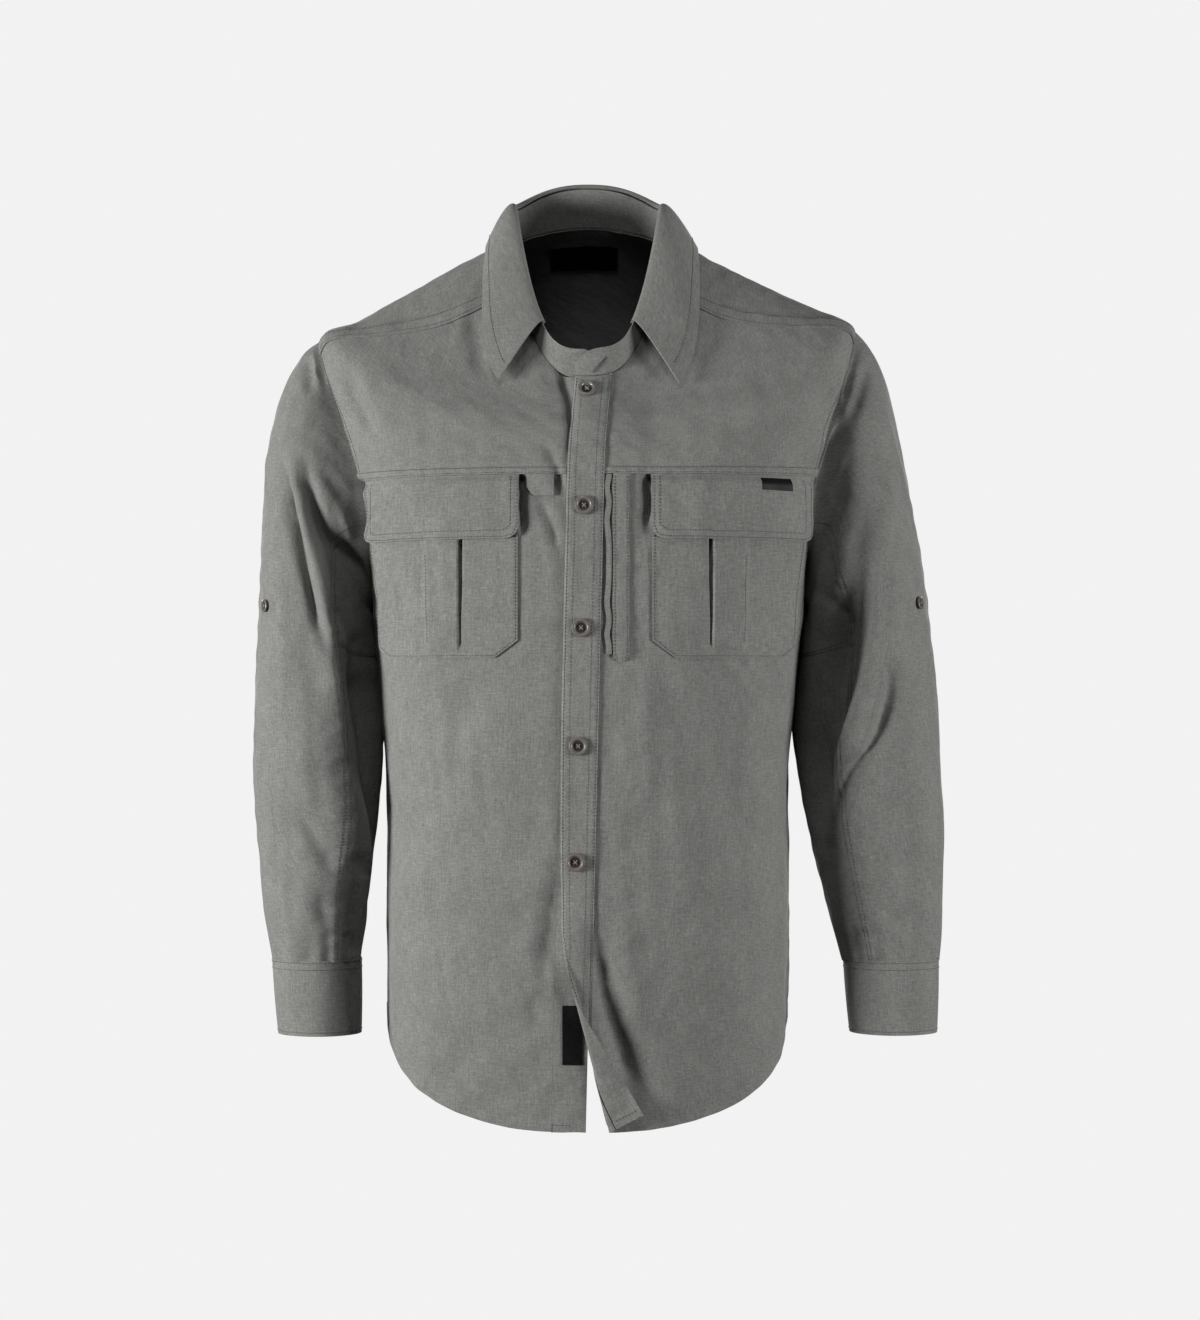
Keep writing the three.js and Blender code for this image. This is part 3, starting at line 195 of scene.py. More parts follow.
def curve(at, to):
    """A smooth curve through points: cubic pieces whose slope at a point is that between its neighbours."""
    at, to = np.asarray(at, float), np.asarray(to, float)
    before = np.maximum(np.arange(len(at)) - 1, 0)
    after = np.minimum(np.arange(len(at)) + 1, len(at) - 1)
    slope = (to[after] - to[before]) / (at[after] - at[before])

    def value(places):
        places = np.clip(places, at[0], at[-1])
        i = np.clip(np.searchsorted(at, places) - 1, 0, len(at) - 2)
        span = at[i + 1] - at[i]
        t = (places - at[i]) / span
        flat = to[i] * (1 + 2 * t) * (1 - t) ** 2 + to[i + 1] * t * t * (3 - 2 * t)
        return flat + span * (slope[i] * t * (1 - t) ** 2 - slope[i + 1] * t * t * (1 - t))

    return value


RING = {name: curve(TRUNK[:, 0], TRUNK[:, k]) for k, name in enumerate(TRUNK_COLUMNS)}
placket_out = curve(PLACKET_LEVELS, PLACKET_OUT)


def length_of(vectors):
    return np.linalg.norm(vectors, axis=-1)


def unit(vectors):
    return vectors / np.maximum(length_of(vectors), 1e-9)[..., None]


def size(name):
    """A size of the shirt in millimetres."""
    return getattr(bpy.context.scene.shirt_sizes, name) / MM


def soft_path(path, count=26):
    """Places along a path with its corners rounded: a cubic through its points."""
    path = np.asarray(path, float)
    at = np.arange(len(path))
    run = np.linspace(0, len(path) - 1, count)
    return np.stack([curve(at, path[:, k])(run) for k in range(path.shape[1])], axis=1)


def crease_height(places, crease):
    """A bell across the crease's path, exp(-(distance / width)^2), that fades out towards both ends."""
    path = soft_path(crease["path"])
    reach = 3 * crease["wide"]
    flat = places.reshape(-1, 2)
    near = np.all((flat > path.min(0) - reach) & (flat < path.max(0) + reach), axis=1)
    height = np.zeros(len(flat))
    if near.any():
        runs = np.diff(path, axis=0)
        away = flat[near][:, None, :] - path[:-1]
        t = np.clip((away * runs).sum(-1) / (runs**2).sum(-1), 0, 1)
        gap = away - t[..., None] * runs
        far = (gap**2).sum(-1)
        rows = np.arange(len(far))
        nearest = far.argmin(1)
        run, off = runs[nearest], gap[rows, nearest]
        flank = np.sign(run[:, 0] * off[:, 1] - run[:, 1] * off[:, 0])
        along = (nearest + t[rows, nearest]) / len(runs)
        fade = smooth(np.minimum(along, 1 - along) / CREASE_FADE)
        wide = crease["wide"] * (1 + flank * crease["lean"])
        height[near] = crease["deep"] * fade * np.exp(-far[rows, nearest] / wide**2)
    return height.reshape(places.shape[:-1])


def drape(points, amplitude):
    """Slow unevenness of hung cloth: a sum of plane waves 45 to 120 mm long, mostly running downwards."""
    random = np.random.default_rng(11)
    height = np.zeros(points.shape[:-1])
    for _ in range(DRAPE["waves"]):
        heading = unit(random.normal(size=3) * (1, 1, 0.4))
        wave = 2 * np.pi / random.uniform(*DRAPE["length"])
        height += np.sin(points @ heading * wave + random.uniform(0, 2 * np.pi))
    return height * amplitude / 3


def crumple(points, amplitude):
    """Small wrinkles of worn cotton: waves 13 to 34 mm long, each in patches, so some places stay plain."""
    random = np.random.default_rng(5)
    height = np.zeros(points.shape[:-1])
    for _ in range(CRUMPLE["waves"]):
        wave = unit(random.normal(size=3)) * 2 * np.pi / random.uniform(*CRUMPLE["length"])
        patch = unit(random.normal(size=3)) * 2 * np.pi / random.uniform(*CRUMPLE["patch"])
        phases = random.uniform(0, 2 * np.pi, 2)
        height += np.sin(points @ wave + phases[0]) * smooth(np.sin(points @ patch + phases[1]))
    return height * amplitude


def pucker(distance, along, wave):
    """Cloth drawn up beside a row of stitches: short waves along it that die out within a few millimetres."""
    high = PUCKER["high"] * np.exp(-((distance / PUCKER["reach"]) ** 2))
    return high * np.sin(along * 2 * np.pi / wave + 2 * np.sin(along / (2.3 * wave)))


def touch(z):
    """How full the cloth is at a height where a sleeve lies against the body."""
    return TOUCH["full"] * smooth((z - TOUCH["bottom"]) / 30) * smooth((TOUCH["top"] - z) / 15)


def relief(base):
    """How far the trunk's cloth stands off its even form: its creases, each on its side, and its drape."""
    places = base[..., [0, 2]]
    to_front = smooth((20 - base[..., 1]) / 50)
    front = sum(crease_height(places, crease) for crease in FRONT_CREASES)
    back = sum(crease_height(places, crease) for crease in BACK_CREASES)
    shown = bpy.context.scene.shirt_sizes.creases
    side = touch(base[..., 2]) * smooth((np.abs(base[..., 0]) - TOUCH["from_x"]) / 12)
    creases = mix(back, front, to_front)
    return side + shown * (creases + drape(base, TRUNK_DRAPE) + crumple(base, TRUNK_CRUMPLE))


def trunk_base(angle, level):
    """The trunk's inner surface: on a ring the point whose polar angle from centre front is given, on the
    outline |x / width|^n + |y / depth|^n = 1, its height moving from the ring's front or back to its side."""
    angle, level = matched(angle, level)
    a = np.radians(angle)
    n, width = RING["square"](level), RING["width"](level)
    is_front = np.cos(a) > 0
    depth = np.where(is_front, RING["front"](level), RING["back"](level))
    r = ring_radius(a, width, depth, n)
    x = r * np.sin(a)
    end = np.where(is_front, RING["z_front"](level), RING["z_back"](level))
    z = mix(end, RING["z_side"](level), (np.abs(x) / width) ** np.where(is_front, 2.8, 2))
    rise = smooth((level - ARMPIT) / (SHOULDER_TIP - ARMPIT)) * np.clip(np.abs(x) / 200, 0, 1)
    return np.stack([x, -r * np.cos(a), z + LEAN * x * rise], axis=-1)


def trunk_normal(angle, level):
    """The outward direction: the ring's tangent crossed with the way up."""
    around = trunk_base(angle + 0.5, level) - trunk_base(angle - 0.5, level)
    low = np.maximum(TRUNK[0, 0], level - 2)
    up = trunk_base(angle, np.minimum(NECK, level + 2)) - trunk_base(angle, low)
    return unit(np.cross(around, up))


def trunk_point(angle, level, offset):
    base = trunk_base(angle, level)
    return base + trunk_normal(angle, level) * (offset + relief(base))[..., None]


def angle_at(x, level):
    """The polar angle at which a ring passes a given x on the front half."""
    share = np.clip(np.abs(x) / RING["width"](level), 0, 0.9999)
    n = RING["square"](level)
    return np.degrees(np.arctan2(x, RING["front"](level) * (1 - share**n) ** (1 / n)))


def button_line(level):
    return BUTTON_LINE["x"] - BUTTON_LINE["slant"] * (BUTTON_LINE["level"] - level)


def front_point(x, level, offset):
    return trunk_point(angle_at(x, level), level, offset)


# The left front's lower corner is turned back outwards about a line in x and level, on a roll of this radius.
TURN_TOP = np.array((-36.9, -560))
TURN_END = np.array((24.3, -800))
TURN_RADIUS = 6.8
TURN_ALONG = (TURN_END - TURN_TOP) / np.linalg.norm(TURN_END - TURN_TOP)


def edge_lift(distance):
    """How far the left front stands up beside its placket, at a distance from the placket's edge."""
    return EDGE_LIFT * (1 - smooth(distance / EDGE_LIFT_WIDTH))


def left_front(x, level, offset):
    """The left front near its placket. Past the fold line a point goes round the roll by its distance, for
    half a turn, and then flat back over the front."""
    edge = button_line(level) + PLACKET_IN
    rise = np.where(x > edge - 0.01, offset + edge_lift(x - edge), offset)
    dx, dz = x - TURN_TOP[0], level - TURN_TOP[1]
    along = dx * TURN_ALONG[0] + dz * TURN_ALONG[1]
    past = dx * TURN_ALONG[1] - dz * TURN_ALONG[0]
    turn = np.clip(past / TURN_RADIUS, 0, np.pi)
    rest = np.maximum(0, past - np.pi * TURN_RADIUS)
    arm = TURN_RADIUS - rise
    across = arm * np.sin(turn) - rest
    is_turned = past > 0
    new_x = np.where(is_turned, TURN_TOP[0] + along * TURN_ALONG[0] + across * TURN_ALONG[1], x)
    new_level = np.where(is_turned, TURN_TOP[1] + along * TURN_ALONG[1] - across * TURN_ALONG[0], level)
    height = np.where(is_turned, TURN_RADIUS - arm * np.cos(turn), rise)
    return front_point(new_x, new_level, height)


def on_front(side, x, level, offset):
    """A point on one front, x being its distance to that side of the middle."""
    x, level, offset = matched(x, level, offset)
    return left_front(x, level, offset) if side > 0 else front_point(-x, level, offset)


def hem(angle):
    """The hem's level: it falls from the side to the middle as (1 - share^a)^(1/b) of the ring's width."""
    x = np.abs(trunk_base(angle, HEM_RING)[..., 0])
    fall = (1 - np.clip(x / RING["width"](HEM_RING), 0, 1) ** HEM_CURVE[0]) ** (1 / HEM_CURVE[1])
    return mix(HEM_SIDE, np.where(np.cos(np.radians(angle)) > 0, HEM_FRONT, HEM_BACK), fall)


def hem_rise(angle, level):
    """The turned hem is a little thicker than the cloth above it."""
    return HEM_RISE * (1 - smooth((level - hem(angle) - HEM_TURN + 1) / 2))


def armhole_level(step):
    return mix(ARMPIT, SHOULDER_TIP, (1 + np.cos(2 * np.pi * step / ARMHOLE_STEPS)) / 2)


def armhole_angle(step):
    """The armhole is an ellipse on the trunk's side: step 0 is the shoulder point, and steps up lead down the
    front."""
    level = armhole_level(step)
    turn = np.sin(2 * np.pi * step / ARMHOLE_STEPS)
    return edge_angle(level, turn)


def edge_angle(level, turn):
    half = np.where(turn > 0, ARMHOLE_FRONT, ARMHOLE_BACK)
    depth = np.where(turn > 0, RING["front"](level), RING["back"](level))
    n = RING["square"](level)
    x = RING["width"](level) * (1 - np.abs(half * turn / depth) ** n) ** (1 / n)
    return np.degrees(np.arctan2(x, half * turn))


def panel_side(level, is_front):
    """The angle of a body panel's outer edge: the side seam up to the armpit, and then the armhole."""
    share = np.clip((level - ARMPIT) / (SHOULDER_TIP - ARMPIT), 0, 1)
    turn = np.sin(np.arccos(2 * share - 1))
    return edge_angle(level, turn if is_front else -turn)


YOKE_START_LEVEL = armhole_level(FRONT_YOKE_STEP)
YOKE_START_ANGLE = armhole_angle(FRONT_YOKE_STEP)
BACK_TOP = armhole_level(BACK_YOKE_STEP)


def yoke_seam_angle(level):
    return mix(YOKE_NECK_ANGLE, YOKE_START_ANGLE, (NECK - level) / (NECK - YOKE_START_LEVEL))


def linear(hex_colour):
    """An sRGB hex colour as linear red, green and blue."""
    srgb = np.array([int(hex_colour[k:k + 2], 16) for k in (1, 3, 5)]) / 255
    return tuple(np.where(srgb <= 0.04045, srgb / 12.92, ((srgb + 0.055) / 1.055) ** 2.4))


def length_property(label, about, default):
    return FloatProperty(name=label, description=about, default=default * MM, min=0, precision=5,
                         unit="LENGTH")


def colour_property(label, about, default):
    return FloatVectorProperty(name=label, description=about, default=linear(default), min=0, max=1,
                               size=3, subtype="COLOR")


def power_property(label, about, default):
    return FloatProperty(name=label, description=about, default=default, unit="POWER")


class ShirtSizes(bpy.types.PropertyGroup):
    """Sizes of the cloth and the sewing."""

    cloth: length_property("Cloth", "Thickness of one layer of shirting", 1.2)
    band: length_property("Band", "Thickness of a folded band, such as a cuff", 1.6)
    stand: length_property("Stand", "Thickness of the collar stand", 2.2)
    leaf: length_property("Leaf", "Thickness of the collar leaf", 2.0)
    grid: length_property("Grid", "Distance between the points of a panel", 2.9)
    stitch: length_property("Stitch", "Length of a stitch that shows", 2.3)
    pitch: length_property("Pitch", "Distance from a stitch to the next", 3.0)
    thread: length_property("Thread", "Thickness of the sewing thread", 0.5)
    creases: FloatProperty(name="Creases", description="Depth of the creases; 1 is as worn",
                           default=1, min=0, max=2)


class ShirtColours(bpy.types.PropertyGroup):
    """Colours of the cloth and the trims."""

    dark_yarn: colour_property("Dark yarn", "Darkest yarn of the shirting", "#626260")
    middle_yarn: colour_property("Middle yarn", "Most of the shirting", "#777774")
    light_yarn: colour_property("Light yarn", "Lightest yarn of the shirting", "#8b8b87")
    lining: colour_property("Inner yoke", "Dark cloth inside the yoke", "#747474")
    thread: colour_property("Thread", "Sewing thread", "#4e4e4c")
    button_rim: colour_property("Button rim", "Rim of the buttons", "#6d6763")
    button_middle: colour_property("Button middle", "Sunken middle of the buttons", "#35302f")
    label: colour_property("Label", "Woven labels, left bare", "#0c0c0d")
    # the zip's colour also paints the shade in the buttonhole's cut
    zip: colour_property("Zip", "Coil and tape of the zip", "#4c4c4a")


class ShirtStage(bpy.types.PropertyGroup):
    """The camera, the lights and the backdrop."""

    distance: FloatProperty(name="Camera distance", description="From the middle of the shirt",
                            default=3.0, unit="LENGTH")
    lens: FloatProperty(name="Lens", description="Focal length", default=89.26, unit="CAMERA")
    key: power_property("Key light", "Light from the left of the picture", 144)
    fill: power_property("Fill light", "Light from the right of the picture", 84)
    front: power_property("Front light", "Soft light from above the camera", 17)
    back: power_property("Back lights", "Light on the shirt's back", 64)
    ambient: FloatProperty(name="Ambient", description="Even light from all round", default=0.01, min=0)
    backdrop: colour_property("Backdrop", "Floor and backdrop", "#f2f2f2")


def node(tree, kind, inputs, **settings):
    """Adds a node, sets its settings, and links or sets its input sockets."""
    made = tree.nodes.new(kind)
    for name, value in settings.items():
        setattr(made, name, value)
    for socket, value in inputs.items():
        if isinstance(value, bpy.types.NodeSocket):
            tree.links.new(value, made.inputs[socket])
        else:
            made.inputs[socket].default_value = value
    return made


def new_material(name, roughness, **sockets):
    """A material with a Principled shader; returns it, its node tree and the shader."""
    material = bpy.data.materials.new(name)
    material.use_nodes = True
    shader = material.node_tree.nodes["Principled BSDF"]
    shader.inputs["Roughness"].default_value = roughness
    for socket, value in sockets.items():
        shader.inputs[socket.replace("_", " ")].default_value = value
    return material, material.node_tree, shader


def ramp(tree, factor, stops):
    made = node(tree, "ShaderNodeValToRGB", {"Fac": factor})
    elements = made.color_ramp.elements
    while len(elements) < len(stops):
        elements.new(0.5)
    for element, (place, colour) in zip(elements, stops):
        element.position = place
        element.color = (*colour, 1)
    return made.outputs["Color"]


def grey(value):
    return (value,) * 3


def times(colour, share):
    """A colour made darker or lighter."""
    return tuple(np.array(colour) * share)


def maths(tree, operation, *values):
    return node(tree, "ShaderNodeMath", dict(enumerate(values)), operation=operation).outputs[0]


def multiply(tree, one, other):
    """Two colours multiplied."""
    mixed = node(tree, "ShaderNodeMix", {6: one, 7: other, 0: 1.0}, data_type="RGBA", blend_type="MULTIPLY")
    return mixed.outputs[2]


def noise_on(tree, place, scale, detail):
    """Noise over the cloth's pattern."""
    return node(tree, "ShaderNodeTexNoise", {"Vector": place, "Scale": scale, "Detail": detail},
                noise_dimensions="2D").outputs["Fac"]


def cloth_place(tree):
    """The place on the cloth, from its pattern."""
    return node(tree, "ShaderNodeUVMap", {}, uv_map="cloth").outputs["UV"]


def mottled(name, roughness, scale, dark, light):
    """A plain material whose colour moves between a darker and a lighter one over a fine noise."""
    material, tree, shader = new_material(name, roughness)
    place = node(tree, "ShaderNodeTexCoord", {}).outputs["Object"]
    noise = node(tree, "ShaderNodeTexNoise", {"Vector": place, "Scale": scale})
    colour = ramp(tree, noise.outputs["Fac"], [(0.3, dark), (0.7, light)])
    tree.links.new(colour, shader.inputs["Base Color"])
    return material


# Streaks of yarn in the cloth: how wide they are across it and along it.
YARN_STREAKS = ((1.5, 13), (10, 1.4), (1.1, 3), (2.6, 1))


def yarns(tree, place, across, along):
    """Streaks of yarn that differ in shade: noise drawn out along the yarn. across and along are in mm."""
    scale = (1 / (across * MM), 1 / (along * MM), 1)
    drawn = node(tree, "ShaderNodeMapping", {"Vector": place, "Scale": scale}, vector_type="POINT")
    return node(tree, "ShaderNodeTexNoise", {"Vector": drawn.outputs["Vector"], "Scale": 1, "Detail": 1.5},
                noise_dimensions="2D").outputs["Fac"]


def chambray(name, dark, middle, light, roughness):
    """Cotton chambray, plain woven from mixed grey yarns: a matt heather with short light and dark flecks
    along and across, and a fine rub of the weave. Real yarns are 0.35 mm apart; here they are drawn about
    1 mm wide, so that they show."""
    material, tree, shader = new_material(name, roughness, Sheen_Weight=0.08, Sheen_Roughness=0.5,
                                          Specular_IOR_Level=0.25)
    place = cloth_place(tree)
    streaks = [yarns(tree, place, across, along) for across, along in YARN_STREAKS]
    long_streaks, short_streaks = (maths(tree, "ADD", *pair) for pair in (streaks[:2], streaks[2:]))
    heather = maths(tree, "MULTIPLY_ADD", long_streaks, 0.25, maths(tree, "MULTIPLY", short_streaks, 0.25))
    flecks = ramp(tree, heather, [(0.3, dark), (0.5, middle), (0.7, light)])
    tone = ramp(tree, noise_on(tree, place, 26, 3), [(0.3, grey(0.91)), (0.7, grey(1.0))])
    tree.links.new(multiply(tree, flecks, tone), shader.inputs["Base Color"])
    soft = node(tree, "ShaderNodeBump", {"Height": noise_on(tree, place, 70, 2), "Strength": 0.45,
                                         "Distance": 0.0012})
    weave = node(tree, "ShaderNodeBump", {"Height": heather, "Strength": 0.15, "Distance": 0.0003,
                                          "Normal": soft.outputs["Normal"]})
    tree.links.new(weave.outputs["Normal"], shader.inputs["Normal"])
    return material


def once(name, make, *values):
    """The material of this name, made by a function the first time that it is asked for."""
    return bpy.data.materials.get(name) or make(name, *values)


def shirting():
    colours = bpy.context.scene.shirt_colours
    return once("Cotton chambray", chambray, colours.dark_yarn, colours.middle_yarn, colours.light_yarn, 0.88)


def inner_yoke_cloth():
    base = bpy.context.scene.shirt_colours.lining
    return once("Dark cotton poplin", chambray, times(base, 0.7), times(base, 1), times(base, 1.3), 0.9)


def sewing_thread():
    """Spun polyester thread: a dull line with a slight gloss from its twist."""
    base = bpy.context.scene.shirt_colours.thread
    return once("Spun polyester thread", mottled, 0.6, 900, times(base, 0.85), times(base, 1.15))


def button_thread():
    """Glazed thread that holds a button: paler than the cloth, and it catches the light."""
    return once("Glazed button thread", mottled, 0.5, 900, linear("#65625f"), linear("#8b8883"))


def zip_nylon_and_slit_shade():
    """Nylon coil and woven tape of a zip: dark, with a soft plastic gloss. The same dark material is painted
    shade in a buttonhole's cut.
    """
    base = bpy.context.scene.shirt_colours.zip
    return once("Zip nylon", mottled, 0.45, 700, times(base, 0.8), times(base, 1.2))


def satin(name):
    """Woven satin: its floats give a low gloss across fine ribs."""
    material, tree, shader = new_material(name, 0.55, Specular_IOR_Level=0.2)
    rib = yarns(tree, cloth_place(tree), 6, 0.7)
    base = bpy.context.scene.shirt_colours.label
    colour = ramp(tree, rib, [(0.35, times(base, 0.7)), (0.65, times(base, 1.6))])
    tree.links.new(colour, shader.inputs["Base Color"])
    bump = node(tree, "ShaderNodeBump", {"Height": rib, "Strength": 0.4, "Distance": 0.0002})
    tree.links.new(bump.outputs["Normal"], shader.inputs["Normal"])
    return material


def label_satin():
    return once("Woven satin label", satin)


def cast_resin(name):
    """Cast polyester resin, turned and tumbled: a taupe rim and a dark sunken middle, softly glossy."""
    colours = bpy.context.scene.shirt_colours
    material, tree, shader = new_material(name, 0.38, Coat_Weight=0.15)
    radius = node(tree, "ShaderNodeSeparateXYZ", {0: cloth_place(tree)}).outputs["X"]
    place = node(tree, "ShaderNodeTexCoord", {}).outputs["Object"]
    cloud = node(tree, "ShaderNodeTexNoise", {"Vector": place, "Scale": 240, "Detail": 3}).outputs["Fac"]
    shade = ramp(tree, radius, [(0.5, colours.button_middle), (0.64, colours.button_rim)])
    mottle = ramp(tree, cloud, [(0.3, grey(0.82)), (0.7, grey(1.0))])
    tree.links.new(multiply(tree, shade, mottle), shader.inputs["Base Color"])
    return material


def button_resin():
    return once("Polyester button resin", cast_resin)


# The cloths by the slot that they fill.
CLOTHS = {"shirting": shirting, "inner_yoke_cloth": inner_yoke_cloth, "zip_tape": shirting,
          "label_cloth": label_satin}


def add_mesh(name, points, faces, material, places=None, sharp=50):
    """A mesh object at the origin from points in mm; places are its pattern coordinates, one for a point."""
    places = np.zeros((len(points), 2)) if places is None else places
    mesh = bpy.data.meshes.new(name)
    mesh.from_pydata((points * MM).tolist(), [], faces)
    corners = np.zeros(len(mesh.loops), np.int32)
    mesh.loops.foreach_get("vertex_index", corners)
    layer = mesh.uv_layers.new(name="cloth")
    layer.data.foreach_set("uv", places[corners].astype(np.float32).ravel())
    mesh.shade_smooth()
    mesh.set_sharp_from_angle(angle=np.radians(sharp))
    mesh.materials.append(material)
    made = bpy.data.objects.new(name, mesh)
    bpy.context.scene.collection.objects.link(made)
    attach(made, "root")
    return made


def quads(a, b, c, d):
    return np.stack([v.ravel() for v in (a, b, c, d)], axis=1)


def shell_faces(rows, columns):
    """Faces of a closed wall between an outer grid, numbered first, and an inner one: quads and four rims."""
    outer = np.arange(rows * columns).reshape(rows, columns)
    inner = outer + rows * columns
    sides = [
        quads(outer[:-1, :-1], outer[:-1, 1:], outer[1:, 1:], outer[1:, :-1]),
        quads(inner[:-1, :-1], inner[1:, :-1], inner[1:, 1:], inner[:-1, 1:]),
        quads(inner[:-1, 0], outer[:-1, 0], outer[1:, 0], inner[1:, 0]),
        quads(outer[:-1, -1], inner[:-1, -1], inner[1:, -1], outer[1:, -1]),
        quads(inner[0, :-1], inner[0, 1:], outer[0, 1:], outer[0, :-1]),
        quads(outer[-1, :-1], outer[-1, 1:], inner[-1, 1:], inner[-1, :-1]),
    ]
    return np.concatenate(sides).tolist()


def run_of(grid, axis):
    """Distance along the rows or columns of a grid from its first point."""
    steps = length_of(np.diff(grid, axis=axis))
    start = np.zeros_like(steps[:1] if axis == 0 else steps[:, :1])
    return np.cumsum(np.concatenate([start, steps], axis=axis), axis=axis)


def add_cloth(node_name, faces, slot="shirting", turn=False, place=None, name=None):
    """A shell of cloth between two grids, rows upwards and columns towards +X. Its pattern places are run
    along the cloth's rows and columns, unless place gives them. turn lays the weave crosswise."""
    outer, inner = faces
    name = name or f"{node_name}_cloth"
    rows, columns = outer.shape[:2]
    u, v = (run_of(outer, 1), run_of(outer, 0)) if place is None else place
    if turn:
        u, v = v, u
    places = np.tile(np.stack([u.ravel(), v.ravel()], axis=1) * MM, (2, 1))
    points = np.concatenate([outer.reshape(-1, 3), inner.reshape(-1, 3)])
    made = add_mesh(name, points, shell_faces(rows, columns), CLOTHS[slot](), places)
    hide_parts(node_name)
    return made


def layers(surface, high, low=0):
    """The outer and the inner face of a cloth: a surface at two heights."""
    return surface(high), surface(low)


def spread(low, high, step):
    """Even places from low to high, about a step apart."""
    return np.linspace(low, high, max(3, int(round(abs(high - low) / step)) + 1))


def seam_lap(distance):
    """The rise of a lapped edge at a distance from it."""
    return LAP * (1 - smooth((distance - LAP_WIDTH + LAP_FALL) / LAP_FALL))


def front_inner_x(side, level, gap=0.1):
    line = button_line(level)
    return line + PLACKET_IN + gap if side > 0 else UNDER_IN + gap - line


# Columns of the panels, and about how high the panels are, which gives the number of their rows.
COLUMNS = {"lower_front": 98, "upper_front": 72, "placket_left": 22, "placket_right": 14, "back": 150}
HEIGHT = {"lower_front": 580, "back": 560, "yoke": 150}
NEAR_FRONT = 100  # up to here the left front is worked out with its lift and its turned corner


def front_surface(side, angle, level, offset):
    plain = trunk_point(side * angle, level, offset)
    if side < 0:
        return plain
    x = trunk_base(angle, level)[..., 0]
    return np.where((x < NEAR_FRONT)[..., None], on_front(1, x, level, offset), plain)


# Dark slots where the cloth gapes: beside the two flaps, under the pockets' pleats and along the zip.
# x is the distance from the middle, and wave how far the slot wanders to both sides.
SLOT_COLUMNS = ("side", "x", "top", "bottom", "deep", "wide", "wave")
SLOTS = table(SLOT_COLUMNS, (
    (-1, 57.5, -214, -276, 6.5, 2.8, 0.6),
    (1, 54.0, -216, -270, 6.0, 2.6, 1.0),
    (1, 107.6, -266, -374, 4.0, 2.4, 0),
    (-1, 111.2, -266, -374, 4.5, 2.8, 0),
    (1, 21.4, -216, -384, 4.5, 1.7, 0.8),
    (-1, 27.5, -221, -242, 4.0, 2.2, 0),
))


def wander(level):
    """An uneven wave down the front, between -1 and 1."""
    return np.sin(level / 7 + 2 * np.sin(level / 19))


def slot_depth(side, x, level):
    depth = 0
    for slot in SLOTS:
        if slot["side"] == side:
            along = smooth((slot["top"] - level) / 10) * smooth((level - slot["bottom"]) / 16)
            middle = slot["x"] + slot["wave"] * wander(level)
            depth = depth + slot["deep"] * along * np.exp(-(((x - middle) / slot["wide"]) ** 2))
    return depth


def in_order(grids, side):
    """Columns run towards +X, so those of the right half are turned about."""
    return [grid if side > 0 else grid[:, ::-1] for grid in grids]


def front_grid(side, share, level_share, low, high):
    """Angles and levels of a front: rows from one edge curve to another, columns from the placket to the
    side."""
    angle = mix(angle_at(front_inner_x(side, ARMPIT), ARMPIT), SIDE_ANGLE, share)
    for _ in range(4):
        level = mix(low(angle), high, level_share)
        inner = angle_at(front_inner_x(side, level), level)
        angle = mix(inner, panel_side(level, True) - GAP_ANGLE, share)
    return angle, level


def lower_front(side):
    """The front below the chest seam: from the hem to the seam, from the placket to the side and armhole."""
    share = np.linspace(0, 1, COLUMNS["lower_front"])[None, :] ** 1.3
    level_share = spread(0, 1, size("grid") / HEIGHT["lower_front"])[:, None]
    angle, level = front_grid(side, share, level_share, hem, CHEST_SEAM + UNDERLAP)
    x = trunk_base(angle, level)[..., 0]
    sunk = hem_rise(angle, level) - slot_depth(side, x, level) + pucker(level - CHEST_SEAM, x, 9)
    grids = layers(lambda h: front_surface(side, angle, level, sunk + h), size("cloth"))
    place = (run_of(grids[0], 1) * side, level)
    return in_order(grids, side), in_order(place, side)


def upper_front(side):
    """The front above the chest seam: its side edge is the armhole and then the slanting yoke seam."""
    share = np.linspace(0, 1, COLUMNS["upper_front"])[None, :]
    low = spread(CHEST_SEAM, YOKE_START_LEVEL, size("grid"))
    level = np.concatenate([low, spread(YOKE_START_LEVEL, NECK, size("grid"))[1:]])[:, None]
    inner = angle_at(front_inner_x(side, level), level)
    outer = np.where(level < YOKE_START_LEVEL, panel_side(level, True), yoke_seam_angle(level) + 0.5)
    angle = mix(inner, outer - GAP_ANGLE, share)
    x = trunk_base(angle, level)[..., 0]
    lap = seam_lap(level - CHEST_SEAM) + pucker(level - CHEST_SEAM, x, 11)
    if side > 0:
        lap = lap + edge_lift(x - front_inner_x(1, level))
    lap = np.broadcast_to(lap, angle.shape)
    grids = layers(lambda h: trunk_point(side * angle, level, lap + h), size("cloth"))
    place = (run_of(grids[0], 1) * side, np.broadcast_to(level, angle.shape))
    return in_order(grids, side), in_order(place, side)


SIDES = (("left", 1), ("right", -1))


class SHIRT_OT_fronts(bpy.types.Operator):
    """Sew in the two fronts, each in an upper and a lower panel"""

    bl_idname = "shirt.fronts"
    bl_label = "Fronts"

    def execute(self, context):
        for name, side in SIDES:
            faces, place = lower_front(side)
            add_cloth(f"front_lower_{name}", faces, place=place)
            faces, place = upper_front(side)
            add_cloth(f"front_upper_{name}", faces, place=place)
        return {"FINISHED"}


def band_grid(first_x, last_x, columns):
    """Levels and x of a band down the front between two edge lines."""
    level = spread(HEM_FRONT, NECK - 1, size("grid"))[:, None]
    return mix(first_x(level), last_x(level), np.linspace(0, 1, columns)[None, :]), level


BAND_PUFF = 0.5
BAND_PRESS = 0.9


